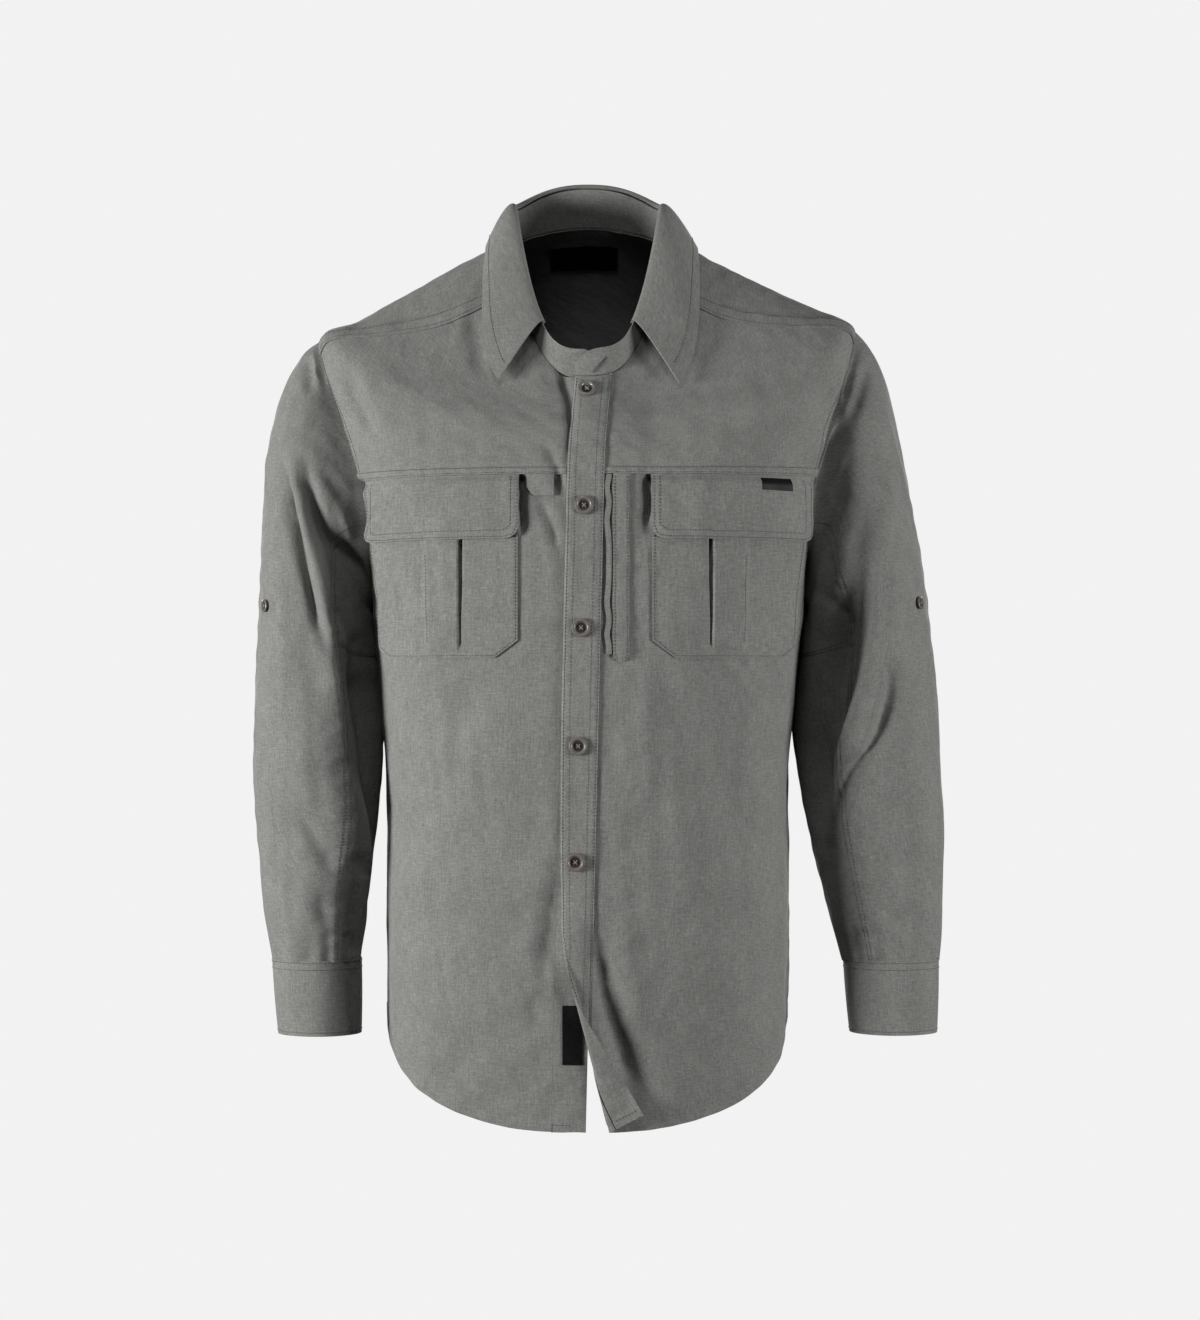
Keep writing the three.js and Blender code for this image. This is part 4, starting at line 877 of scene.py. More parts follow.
class SHIRT_OT_plackets(bpy.types.Operator):
    """Sew on the buttonhole placket and the button placket under it"""

    bl_idname = "shirt.plackets"
    bl_label = "Plackets"

    def execute(self, context):
        x, level = band_grid(lambda v: button_line(v) - placket_out(v),
                             lambda v: button_line(v) + PLACKET_IN, COLUMNS["placket_left"])
        edge = np.minimum(x - x[:, :1], x[:, -1:] - x)
        # the band is pressed thin at its edges and a little fuller between its two rows of stitches
        puff = BAND_PUFF * smooth(edge / 5) - BAND_PRESS * (1 - smooth(edge / 1.8))
        level = np.broadcast_to(level, x.shape)
        turned = -HEM_RISE * (1 - smooth(level - HEM_FRONT - HEM_TURN))  # the hem is turned up on the inside
        pressed = UNDER_PLACKET_LIFT - LEFT_EDGE_PRESS * (1 - smooth((x - x[:, :1]) / 4))
        faces = layers(lambda h: on_front(1, x, level, pressed + h), size("band") + puff, turned)
        add_cloth("placket_left", faces, place=(x, level))
        x, level = band_grid(lambda v: button_line(v) - UNDER_IN, lambda v: button_line(v) + UNDER_OUT,
                             COLUMNS["placket_right"])
        level = np.broadcast_to(level, x.shape)
        faces = layers(lambda h: front_point(x, level, h), size("cloth"))
        add_cloth("placket_right", faces, place=(x, level))
        return {"FINISHED"}


YOKE_NECK_ANGLES = (57, 68, 80, 92, 103, 114, 125, 131)
YOKE_BACK = {"neck": (131, 136, 143, 151, 160, 170, 180), "out": (107, 118, 132, 147, 163, 180)}
INNER_YOKE_START = 48  # the inner yoke leaves out this many of the columns in front
LINING_GAP = 0.7  # between the yoke and the inner yoke


def yoke_edges(back_only=False):
    """The yoke's columns as a neck angle, an outer angle and an outer level: round the armhole from the front
    seam, along the back seam, and mirrored. Each column is straight in angle and level."""
    count, back_count = len(YOKE_NECK_ANGLES), len(YOKE_BACK["neck"])
    t = np.linspace(0, count - 1, 64)
    front = [curve(range(count), YOKE_NECK_ANGLES)(t), armhole_angle(FRONT_YOKE_STEP - t),
             armhole_level(FRONT_YOKE_STEP - t)]
    t = np.linspace(0, back_count - 1, 54)[1:]
    back = [curve(range(back_count), YOKE_BACK["neck"])(t),
            curve(range(back_count), (armhole_angle(-BACK_YOKE_STEP), *YOKE_BACK["out"]))(t),
            np.full(len(t), BACK_TOP)]
    first = INNER_YOKE_START if back_only else 0
    neck, out, level = (np.concatenate([one[first:], other]) for one, other in zip(front, back))
    return [np.concatenate([half, mirrored[:-1][::-1]])
            for half, mirrored in ((neck, 360 - neck), (out, 360 - out), (level, level))]


# The shoulder line, from which the yoke's pattern is laid out: its height and slope, where it runs front to
# back, over what depth the pattern turns there, and how much the distances are drawn together.
SHOULDER = {"height": 22, "slope": 0.5, "y": 8, "turn": 15, "share": 0.85}


def yoke_place(points):
    """Distance over the shoulder from front to back: the depth and the drop below the shoulder line, which
    counts down towards the front and up towards the back."""
    x, y, z = np.moveaxis(points, -1, 0)
    drop = np.maximum(0, SHOULDER["height"] - SHOULDER["slope"] * np.abs(x) - z)
    return SHOULDER["share"] * (y + np.tanh((y - SHOULDER["y"]) / SHOULDER["turn"]) * drop)


class SHIRT_OT_back(bpy.types.Operator):
    """Sew in the back, its yoke and the dark inner yoke"""

    bl_idname = "shirt.back"
    bl_label = "Back and yoke"

    def execute(self, context):
        share = spread(0, 1, size("grid") / HEIGHT["back"])[:, None]
        across = np.linspace(0, 1, COLUMNS["back"])[None, :]
        angle = mix(SIDE_ANGLE, 360 - SIDE_ANGLE, across)
        for _ in range(4):
            level = mix(hem(angle), BACK_TOP + UNDERLAP, share)
            edge = panel_side(level, False) + GAP_ANGLE
            angle = mix(edge, 360 - edge, across)
        rise = hem_rise(angle, level)
        faces = layers(lambda h: trunk_point(angle, level, rise + h), size("cloth"))
        run = run_of(faces[0], 1)
        add_cloth("back_panel", faces, place=(run - run[:, -1:] / 2, level))

        neck, out, low = yoke_edges()
        share = spread(1, 0, size("grid") / HEIGHT["yoke"])[:, None]
        level = mix(NECK, low, share)
        angle = mix(neck, out, share)
        start = run_of(trunk_base(angle, level), 0)
        edge = np.minimum(angle - angle[:, :1], angle[:, -1:] - angle) * 2.2
        seam = np.where(np.abs(low - BACK_TOP) < 0.5, start, 99)
        lap = seam_lap(np.minimum(edge, seam))
        faces = layers(lambda h: trunk_point(angle, level, lap + h), size("cloth"))
        add_cloth("back_yoke", faces,
                  place=(faces[0][..., 0], yoke_place(faces[0])))
        neck, out, low = yoke_edges(back_only=True)
        share = spread(1, 0, 0.03)[:, None]
        level, angle = mix(NECK, low, share), mix(neck, out, share)
        faces = layers(lambda h: trunk_point(angle, level, h - LINING_GAP), 0, -size("cloth"))
        add_cloth("yoke_lining", faces, slot="inner_yoke_cloth",
                  name="inner_yoke_cloth")
        return {"FINISHED"}


# The collar's fold line, where the stand ends and the leaf turns over.
FOLD = {"width": 65.5, "front": 88, "back": 56, "z_front": -107, "z_side": 30, "z_back": 56}
STAND_END_LEFT = 8.5
STAND_END_RIGHT = 7
STAND_LAP = 3.4
STAND_ROUND = 17  # the left end's top comes down in a quarter round over these degrees
STAND_GAP = 0.7

# The leaf from the middle of the back to a front corner: the angles of its fold and its edge, and the level
# and the lift of its edge over the shirt.
LEAF = {
    "turn": (0, 0.3, 0.5, 0.64, 0.78, 0.9, 1),
    "fold": (180, 136, 100, 78, 56, 40, 29),
    "edge": (180, 136, 100, 80, 65, 52, 42.5),
    "level": (47, 46, 45, 40, 26, 0, -24),
    "lift": (4, 4, 4, 4, 5, 6, 7),
}
LEAF_GAP = 1.5
LEAF_SLIP = 4


def fold_point(angle):
    """The fold line, an outline like the trunk's rings, its height moving from front or back to the side."""
    a = np.radians(angle)
    is_front = np.cos(a) > 0
    depth = np.where(is_front, FOLD["front"], FOLD["back"])
    n = np.where(is_front, 2, 2.6)
    r = ring_radius(a, FOLD["width"], depth, n)
    x = r * np.sin(a)
    end = np.where(is_front, FOLD["z_front"], FOLD["z_back"])
    z = mix(end, FOLD["z_side"], (np.abs(x) / FOLD["width"]) ** np.where(is_front, 3.4, 2.4))
    return np.stack([x, -r * np.cos(a), z], axis=-1)


def outward(angle):
    a = np.radians(angle)
    return np.stack([np.sin(a), -np.cos(a), 0 * a], axis=-1)


def stand_point(turn, share, offset):
    """The stand rises straight from the neck edge to the fold, its left end standing outside the right."""
    turn, share = matched(turn, share)
    angle = 180 - turn
    base = trunk_base(angle, NECK)
    up = unit(base - trunk_base(angle, NECK - 4))
    point = mix(base + up * STAND_GAP, fold_point(angle), share[..., None])
    lean = outward(angle) * 0.96 + np.array((0, 0, 0.28))
    across = unit(mix(trunk_normal(angle, NECK), lean, smooth(share * 2.5)[..., None]))
    lap = STAND_LAP * smooth((turn - 140) / 30)
    return point + across * (offset + lap)[..., None]


def leaf_base(turn, share):
    """The leaf's under side: a Bezier from the fold, up and over, down to an edge that lies on the shirt."""
    turn, share = matched(turn, share)
    t, side = np.abs(turn), np.where(turn < 0, -1, 1)
    columns = (LEAF[name] for name in ("fold", "edge", "level", "lift"))
    fold, edge, level, lift = (curve(LEAF["turn"], column)(t) for column in columns)
    out = outward(fold)
    lap = np.where(side > 0, STAND_LAP * smooth((180 - fold - 140) / 30), 0)
    top = fold_point(fold) + out * (size("stand") / 2 + lap)[..., None] + np.array((0, 0, LEAF_GAP))
    end = trunk_point(edge, level - side * LEAF_SLIP * smooth(t / 0.4), lift)
    rise = top + out * 2.5 + np.array((0, 0, 7))
    over = mix(top + out * 10, end, 0.22) + np.array((0, 0, 2))
    s = share[..., None]
    point = (1 - s) ** 3 * top + 3 * s * (1 - s) ** 2 * rise + 3 * s * s * (1 - s) * over + s**3 * end
    point[..., 0] *= side
    return point


def grid_normals(grid):
    """Outward directions of a grid whose rows run upwards and columns towards +X."""
    return unit(np.cross(np.gradient(grid, axis=1), np.gradient(grid, axis=0)))


class SHIRT_OT_collar(bpy.types.Operator):
    """Sew on the collar stand and the leaf that falls over it"""

    bl_idname = "shirt.collar"
    bl_label = "Collar"

    def execute(self, context):
        turns = np.linspace(180 + STAND_END_LEFT, -180 - STAND_END_RIGHT, 220)[None, :]
        share = np.linspace(0, 1, 14)[:, None]
        to_right = smooth((turns + 180 + STAND_END_RIGHT) / 9)
        to_left = np.clip(1 - (180 + STAND_END_LEFT - turns) / STAND_ROUND, 0, 0.999)
        rounded = share * (1 - 0.35 * (1 - to_right) * share) * np.sqrt(1 - to_left**2)
        faces = layers(lambda h: stand_point(turns, rounded, h)[:, ::-1], size("stand"))
        add_cloth("collar_stand", faces, turn=True)
        turns = np.linspace(-1, 1, 190)[None, :]
        share = (np.linspace(1, 0, 30)[:, None]) ** 1.3
        base = leaf_base(turns, share)[:, ::-1]
        normal = grid_normals(base)
        if normal[15, 95] @ np.array((0, 1, 0)) < 0:
            normal = -normal
        add_cloth("collar_leaf", (base + normal * size("leaf"), base),
                  turn=True)
        return {"FINISHED"}


# Sleeve sections from the armhole to the cuff. A row holds x and z of the outer end, x and z of the inner end,
# y of the middle and half the depth.
SLEEVES = {
    "right": {
        "sign": -1,
        "rows": np.array([
            (262, -107, 198.4, -344, 1, 54), (280, -140, 197.8, -349, 2, 62),
            (291, -190, 197.2, -354, 3, 69), (296.5, -250, 196.4, -361, 3, 73),
            (300, -315, 195, -374, 3, 74), (302.5, -385, 192.6, -400, 2, 71),
            (304, -450, 188.7, -450, 0, 66), (303.5, -510, 192, -508, -3, 61),
            (299, -565, 197.5, -563, -8, 55), (293, -615, 203, -614, -13, 47),
            (286, -655.3, 208, -655.3, -17, 38),
        ]),
        "cuff": {"top": -656, "bottom": -722, "out_top": 287.6, "in_top": 206.4, "out_bottom": 282,
                 "in_bottom": 206.5, "y": -17, "half": 37.8},
        "folds": (
            {"deep": -9, "wide": 22, "z": (-500, -438, -365, -291, -250, -215),
             "turn": (118, 108, 87, 66, 52, 40)},
            {"deep": -6, "wide": 18, "z": (-335, -291, -245, -215), "turn": (136, 107, 84, 70)},
        ),
        "creases": table(CREASE_COLUMNS, (
            (-12, 5.8, -0.3, ((-285, -175), (-281, -194), (-275, -226), (-265, -262), (-254, -298),
                              (-245, -329), (-235, -365), (-227, -401))),
            (4.5, 9, 0, ((-273, -185), (-266, -221), (-255, -257), (-244, -293), (-235, -327))),
            (-9.1, 6, -0.3, ((-257, -196), (-245, -235), (-234, -264), (-220, -281), (-208, -299),
                             (-192, -329))),
            (3.9, 8, 0, ((-243, -212), (-232, -239), (-220, -259), (-207, -277))),
            (-21, 11, 0, ((-227, -306), (-211, -356), (-200, -410), (-193, -455), (-187, -509),
                          (-185, -563), (-189, -635))),
            (12, 15, -0.5, ((-246, -302), (-235, -365), (-226, -419), (-218, -477), (-209, -527),
                            (-205, -581), (-208, -643))),
            (5.2, 10, 0, ((-226, -340), (-216, -365), (-203, -390), (-192, -410))),
            (-3.4, 7, 0, ((-265, -507), (-254, -527), (-243, -547), (-232, -563), (-223, -572))),
            (-2.6, 7, 0, ((-241, -590), (-238, -608), (-236, -628))),
            (-2.9, 6, 0, ((-218, -626), (-215, -639), (-212, -651))),
            (-3.4, 6, 0, ((-215, -554), (-209, -570), (-204, -581))),
            (-6.5, 3.8, 0, ((-238, -88), (-238, -105), (-237, -123), (-236, -142))),
            (2.9, 5, 0, ((-244, -96), (-244, -114), (-243, -133))),
            (-3.1, 6, 0, ((-253, -106), (-254, -124), (-250, -146))),
            (-2.1, 12, 0, ((-286, -419), (-277, -473), (-271, -527), (-266, -581))),
        )),
        "button": {"along": 5.2, "turn": 37},
    },
    "left": {
        "sign": 1,
        "rows": np.array([
            (258, -96, 198.4, -344, 1, 54), (273, -130, 197.8, -349, 2, 62),
            (284, -185, 197.2, -354, 3, 69), (295, -240, 196.4, -361, 3, 73),
            (306, -305, 195, -374, 3, 75), (315, -380, 192.6, -400, 2, 74),
            (321, -450, 188.7, -450, 0, 70), (323.5, -510, 196, -508, -3, 64),
            (323.5, -565, 208, -563, -8, 57), (322.5, -615, 220.5, -612, -13, 48),
            (318, -655.3, 234, -655.3, -17, 39),
        ]),
        "cuff": {"top": -656, "bottom": -721, "out_top": 319.6, "in_top": 232.6, "out_bottom": 318,
                 "in_bottom": 238.5, "y": -17, "half": 38.8},
        "folds": (
            {"deep": -8, "wide": 20, "z": (-520, -453, -374, -320, -250), "turn": (150, 118, 99, 93, 78)},
            {"deep": 5, "wide": 18, "z": (-546, -453, -374, -291, -209), "turn": (135, 104, 82, 66, 50)},
        ),
        "creases": table(CREASE_COLUMNS, (
            (5.9, 6, 0, ((274, -185), (271, -226), (265, -266), (260, -302), (255, -338), (249, -374),
                         (240, -410), (228, -446), (219, -477), (212, -509), (207, -545))),
            (-9.1, 7, 0.2, ((255, -293), (250, -329), (244, -365), (234, -401), (219, -437), (207, -473))),
            (-7.2, 6, 0.2, ((255, -374), (266, -388), (270, -405), (265, -432), (255, -457), (242, -476),
                            (230, -502), (223, -536), (222, -572), (225, -612))),
            (3.9, 7, 0, ((255, -401), (252, -428), (243, -453), (231, -471))),
            (-25, 18, 0, ((234, -293), (229, -338), (220, -383), (207, -428), (196, -473), (196, -527),
                          (205, -581))),
            (-9.1, 6.5, 0.2, ((232, -158), (225, -178), (216, -202), (207, -227), (200, -253),
                              (196, -280))),
            (-5.2, 3.6, 0, ((233, -90), (229, -106), (226, -131))),
            (-5.2, 3.6, 0, ((244, -101), (237, -117), (232, -137), (228, -154))),
            (2.6, 4, 0, ((239, -96), (234, -112), (230, -131))),
            (-3.1, 6, 0, ((257, -106), (250, -128), (243, -151), (235, -172))),
            (-5.9, 5, 0, ((196, -289), (198, -307), (196, -327))),
            (-5.9, 5, 0, ((193, -329), (196, -349), (192, -370))),
            (-3.1, 5, 0, ((205, -311), (216, -329), (228, -347), (238, -365))),
            (-2.3, 12, 0, ((294, -329), (283, -356), (277, -379))),
            (-2.1, 12, 0, ((285, -473), (276, -527), (268, -581), (266, -626))),
            (-2.6, 6, 0, ((247, -621), (245, -637), (247, -651))),
        )),
        "button": {"along": 5.3, "turn": 33},
    },
}
SLEEVE_BACK_CREASES = table(CREASE_COLUMNS, (
    (-4, 9, 0.2, ((226, -150), (246, -200), (262, -262), (268, -320))),
    (-5, 9, 0.2, ((300, -330), (270, -372), (240, -404), (212, -424))),
    (-3.5, 8, 0, ((304, -400), (276, -432), (248, -456), (220, -470))),
    (-2.4, 10, 0, ((230, -500), (252, -560), (262, -620))),
))
SEAM_DRIFT = 7.5
DRIFT_START = 4.5
TURN_STEP = 360 / ARMHOLE_STEPS
SLEEVE_SEAM = 9 * TURN_STEP
GUSSET_END = 5.35
SEAM_TURN = 0.05  # what is left open at a seam along the sleeve, in degrees
SLEEVE_GAP = 0.004  # and at the armhole and across the gusset, in steps along the sleeve
GUSSET_GAP = 0.006
FOLD_GIRTH = 60  # radius that turns a fold's angle into a width
GATHERS = {"high": 1.1, "count": 13, "top": -600}  # above the cuff
ALONG_STEP = 57  # length of the sleeve from one section to the next
TURN_WIDTH = 1.25  # width of the cloth for a degree of turn


def section_point(sleeve, row, turn):
    """A sleeve section: an ellipse standing on the slanting line from its outer end to its inner end."""
    a = np.radians(turn)
    out = np.cos(a) / 2 + 0.5
    row = sleeve["rows"][row]
    x = mix(row[..., 2], row[..., 0], out) * sleeve["sign"]
    return np.stack([x, row[..., 4] - row[..., 5] * np.sin(a), mix(row[..., 3], row[..., 1], out)], axis=-1)


def armhole_step(turn):
    """The step round the armhole, from minus half to plus half of them, at a turn in degrees."""
    return (turn / TURN_STEP + ARMHOLE_STEPS / 2) % ARMHOLE_STEPS - ARMHOLE_STEPS / 2


def sleeve_base(sleeve, along, turn):
    """The sleeve's inner surface: a cubic through the armhole and the sections. Turn 0 is outside, 90 in
    front."""
    along, turn = matched(along, turn)
    count = len(sleeve["rows"])
    step = armhole_step(turn)
    start = trunk_base(sleeve["sign"] * armhole_angle(step), armhole_level(step))

    def at(k):
        return np.where((k <= 0)[..., None], start, section_point(sleeve, np.clip(k, 1, count) - 1, turn))

    k = np.minimum(np.floor(along).astype(int), count - 1)
    t = (along - k)[..., None]
    p0, p1, p2, p3 = (at(k + i) for i in (-1, 0, 1, 2))
    point = p1 * (1 + 2 * t) * (1 - t) ** 2 + p2 * t * t * (3 - 2 * t)
    return point + (p2 - p0) / 2 * t * (1 - t) ** 2 - (p3 - p1) / 2 * t * t * (1 - t)


def sleeve_normal(sleeve, along, turn):
    """The outward direction, which turns from the trunk's at the armhole to the sleeve's own."""
    around = sleeve_base(sleeve, along, turn + 2) - sleeve_base(sleeve, along, turn - 2)
    low, high = np.maximum(0, along - 0.05), np.minimum(len(sleeve["rows"]), along + 0.05)
    down = sleeve_base(sleeve, high, turn) - sleeve_base(sleeve, low, turn)
    own = unit(np.cross(down, around)) * -sleeve["sign"]
    step = armhole_step(turn)
    trunk = trunk_normal(sleeve["sign"] * armhole_angle(step), armhole_level(step))
    return unit(mix(trunk, own, smooth(along)[..., None]))


def large_folds(sleeve, z, around):
    """Bells across lines given by height and turn, which fade out past both ends."""
    height = 0
    for fold in sleeve["folds"]:
        first, last = fold["z"][-1], fold["z"][0]
        across = np.radians(around - np.interp(z, fold["z"], fold["turn"])) * FOLD_GIRTH
        fade = smooth((first + 25 - z) / 50) * smooth((z - last + 25) / 50)
        height = height + fold["deep"] * fade * np.exp(-((across / fold["wide"]) ** 2))
    return height


def sleeve_relief(sleeve, base, along, turn):
    """Creases of a sleeve: large folds placed by height and turn, and finer ones along listed paths."""
    around = (turn + 180) % 360 - 180
    a, z = np.radians(around), base[..., 2]
    height = drape(base, SLEEVE_DRAPE) + crumple(base, SLEEVE_CRUMPLE)
    large = large_folds(sleeve, z, around)
    places = base[..., [0, 2]]
    facing = np.sin(a) * 2.2 - 0.1  # creases keep off the two edges that the eye sees in profile
    front = sum(crease_height(places, crease) for crease in sleeve["creases"])
    sided = places * np.array((sleeve["sign"], 1))
    back = sum(crease_height(sided, crease) for crease in SLEEVE_BACK_CREASES)
    gathers = GATHERS["high"] * np.sin(a * GATHERS["count"] + 2 * np.sin(a * 3))
    cuff = gathers * smooth((GATHERS["top"] - z) / 55)
    shown = bpy.context.scene.shirt_sizes.creases
    seam = pucker(ALONG_STEP * (along - GUSSET_END), around, 7.5) * (np.abs(around) > SLEEVE_SEAM)
    sides = pucker(TURN_WIDTH * (np.abs(around) - SLEEVE_SEAM), z, 12)
    inside = touch(z) * smooth(-4 * np.cos(a) - 3)
    shaped = large * smooth((along - 0.3) / 1.5) + front * smooth(facing) + back * smooth(-facing - 0.2)
    return inside + shown * (shaped + seam + sides + height + cuff)


def sleeve_point(sleeve, along, straight_turn, offset):
    along, straight_turn = matched(along, straight_turn)
    drift = SEAM_DRIFT * smooth((along - DRIFT_START) / 2)
    turn = straight_turn + drift * np.sin(np.radians(straight_turn))
    base = sleeve_base(sleeve, along, turn)
    body = relief(sleeve_base(sleeve, 0 * along, turn))
    height = mix(body, sleeve_relief(sleeve, base, along, turn), smooth(along / 0.5))
    return base + sleeve_normal(sleeve, along, turn) * (height + offset)[..., None]


def sleeve_faces(sleeve, first, last, from_turn, to_turn):
    """The outer and the inner face of a sleeve piece, between two places along it and two turns."""
    alongs = np.linspace(last, first, int((last - first) * ALONG_STEP / size("grid")) + 2)[:, None]
    count = int(abs(to_turn - from_turn) * TURN_WIDTH / size("grid")) + 2
    turns = np.linspace(from_turn + SEAM_TURN, to_turn - SEAM_TURN, count)[None, :]
    if sleeve["sign"] > 0:
        turns = turns[:, ::-1]
    return layers(lambda h: sleeve_point(sleeve, alongs, turns, h), size("cloth"))


CUFF_START = -128
CUFF_LAP = 30
CUFF_STEP = 2.1
CUFF_PUFF = 0.5


def cuff_point(sleeve, share, past, offset):
    """A cuff: an ellipse that goes a little past a full turn, its over end standing outside its under end."""
    cuff = sleeve["cuff"]
    share, past = matched(share, past)
    a = np.radians(CUFF_START + past)
    puff = CUFF_PUFF * np.sin(share * np.pi) + CUFF_PUFF * np.sin(a * 3 + 1) * np.sin(a * 2)
    outer = offset + puff + CUFF_STEP * smooth((past - 300) / 50)
    out, inside = (mix(cuff[f"{end}_top"], cuff[f"{end}_bottom"], share) for end in ("out", "in"))
    x = (out + inside) / 2 + ((out - inside) / 2 - size("band") + outer) * np.cos(a)
    z = mix(cuff["top"] + 2, cuff["bottom"], share)
    return np.stack([sleeve["sign"] * x, cuff["y"] - (cuff["half"] + outer) * np.sin(a), z], axis=-1)


class SHIRT_OT_sleeves(bpy.types.Operator):
    """Sew in the sleeves: each a top sleeve, an underarm gusset and an under sleeve"""

    bl_idname = "shirt.sleeves"
    bl_label = "Sleeves"

    def execute(self, context):
        under = (SLEEVE_SEAM, 360 - SLEEVE_SEAM)
        for name, sleeve in SLEEVES.items():
            end, top = len(sleeve["rows"]), f"sleeve_{name}"
            pieces = (
                (top, SLEEVE_GAP, end, (-SLEEVE_SEAM, SLEEVE_SEAM), "back_yoke_cloth"),
                (f"underarm_gusset_{name}", SLEEVE_GAP, GUSSET_END, under, f"{top}_cloth"),
                (f"under_sleeve_{name}", GUSSET_END + GUSSET_GAP, end, under, f"{top}_cloth"),
            )
            for piece, first, last, turns, holder in pieces:
                add_cloth(piece, sleeve_faces(sleeve, first, last, *turns))
        return {"FINISHED"}


class SHIRT_OT_cuffs(bpy.types.Operator):
    """Sew on the two cuffs"""

    bl_idname = "shirt.cuffs"
    bl_label = "Cuffs"

    def execute(self, context):
        for name, sleeve in SLEEVES.items():
            past = np.linspace(0, 360 + CUFF_LAP, 170)[None, :]
            if sleeve["sign"] > 0:
                past = past[:, ::-1]
            share = np.linspace(1, 0, 26)[:, None]
            faces = layers(lambda h: cuff_point(sleeve, share, past, h), size("band"))
            add_cloth(f"cuff_{name}", faces)
        return {"FINISHED"}


POCKET_FIRST = 56.5
POCKET_LAST = 192
POCKET_SHIFT = {1: 0, -1: 5}
POCKET_RING = -280
POCKET = {"top": -232, "bottom": -381, "cut_in": 15, "cut_out": 9, "lift": 1.9}
PLEAT = {"first": 109, "last": 141.5, "rise": 1.8, "slot": 107.4, "deep": 4.2, "end": -372}
FLAP = {"top": -220.6, "bottom": -277, "lift": 5.4, "sewn": 1.9, "thick": 1.8, "puff": 0.35, "round_in": 13,
        "round_out": 10}
FLAP_OUT = {1: 4.5, -1: 1}


def pocket_x(side, line, level):
    """The x of one line of a pocket; the outer lines close in below as the trunk does."""
    x = line + POCKET_SHIFT[side] * (1 - line / (2 * POCKET_LAST))
    taper = np.minimum(1, RING["width"](level) / RING["width"](POCKET_RING))
    return x * mix(1, taper, smooth((line - 110) / 60))


def pocket_rise(line, level):
    """The box pleat stands up between its two lines, and a slot gapes along its inner edge."""
    pleat = smooth((line - PLEAT["first"] + 0.8) / 1.6) * smooth((PLEAT["last"] - line) / 3)
    open_share = smooth((level - PLEAT["end"]) / 70)
    wide = mix(0.5, 1.6, open_share)
    slot = np.exp(-(((line - PLEAT["slot"]) / wide) ** 2)) * smooth((level - PLEAT["end"]) / 6)
    return PLEAT["rise"] * pleat * smooth((level - PLEAT["end"] + 6) / 8) - PLEAT["deep"] * slot


def add_pocket(name, side):
    """A chest pocket: columns along its lines, its lower corners cut off, a box pleat in its middle."""
    beside_pleat = spread(104, 112, 0.4)
    lines = np.unique(np.concatenate([spread(POCKET_FIRST, POCKET_LAST, 2.2), beside_pleat]))[None, :]
    cut = POCKET["cut_in"] * np.clip(1 - (lines - POCKET_FIRST) / 20, 0, 1)
    cut = cut + POCKET["cut_out"] * np.clip(1 - (POCKET_LAST - lines) / 11, 0, 1) ** 2
    level = mix(POCKET["bottom"] + cut, POCKET["top"], np.linspace(0, 1, 62)[:, None])
    x = pocket_x(side, lines, level)
    rise = pocket_rise(lines, level)
    low = POCKET["lift"]
    faces = layers(lambda h: on_front(side, x, level, h + rise), low + size("cloth"), low)
    add_cloth(f"pocket_{name}", in_order(faces, side),
              place=in_order((x * side, level), side))


def flap_lift(level):
    return mix(FLAP["sewn"], FLAP["lift"], smooth((FLAP["top"] - level) / 9))


def flap_wave(side, line, level):
    """The flap's free edge stands off unevenly."""
    free = smooth((FLAP["top"] - level) / 50)
    return free * (1.1 * np.sin(line / 13 + side) + 0.6 * np.sin(line / 5.5 + 2 * side)) * 0.8


def corner_round(radius, away):
    """How far a quarter circle has risen from a straight edge, at a distance from the side."""
    return radius - np.sqrt(np.clip(radius**2 - np.clip(radius - away, 0, None) ** 2, 0, None))


def add_flap(name, side):
    """A pocket flap, caught in the chest seam: its lower corners are rounded by a quarter circle."""
    first, last = POCKET_FIRST - 1, POCKET_LAST + FLAP_OUT[side]
    lines = spread(first, last, 1.8)[None, :]
    from_in, from_out = lines - first, last - lines
    cut = corner_round(FLAP["round_in"], from_in) + corner_round(FLAP["round_out"], from_out)
    level = mix(FLAP["bottom"] + cut * 0.8, FLAP["top"], np.linspace(0, 1, 30)[:, None])
    x = pocket_x(side, lines, level)
    lift = flap_lift(level) + flap_wave(side, lines, level)
    edge = np.minimum(np.minimum(from_in, from_out), level - level[:1])
    thick = FLAP["thick"] - FLAP["puff"] * (1 - smooth(edge / 5))
    faces = layers(lambda h: on_front(side, x, level, lift + h), thick)
    add_cloth(f"pocket_flap_{name}", in_order(faces, side),
              place=in_order((x * side, level), side))


def strip_points(side, strip, offset):
    """A flat strip on one front between two x and two levels, its lower corners cut off."""
    share = np.linspace(0, 1, strip["across"])[None, :]
    width = strip["to"] - strip["from"]
    cuts = strip["cuts"]
    cut = cuts[0] * np.clip(1 - share * width / max(cuts[0], 1), 0, 1) ** 2
    cut = cut + cuts[1] * np.clip(1 - (1 - share) * width / max(cuts[1], 1), 0, 1) ** 2
    level = mix(strip["bottom"] + cut, strip["top"], np.linspace(0, 1, strip["up"])[:, None])
    x = mix(strip["from"], strip["to"], share) + strip.get("wave", 0) * wander(level)
    return on_front(side, x, level, offset), x, level


def add_strip(node_name, side, strip, slot, name=None):
    puffed = strip.get("puff", 0) * np.sin(np.linspace(0, np.pi, strip["across"]))[None, :]
    outer, x, level = strip_points(side, strip, strip["low"] + strip["thick"] + puffed)
    inner = strip_points(side, strip, strip["low"] + 0 * puffed)[0]
    add_cloth(node_name, in_order((outer, inner), side), slot=slot,
              place=in_order((x, level), side), name=name)


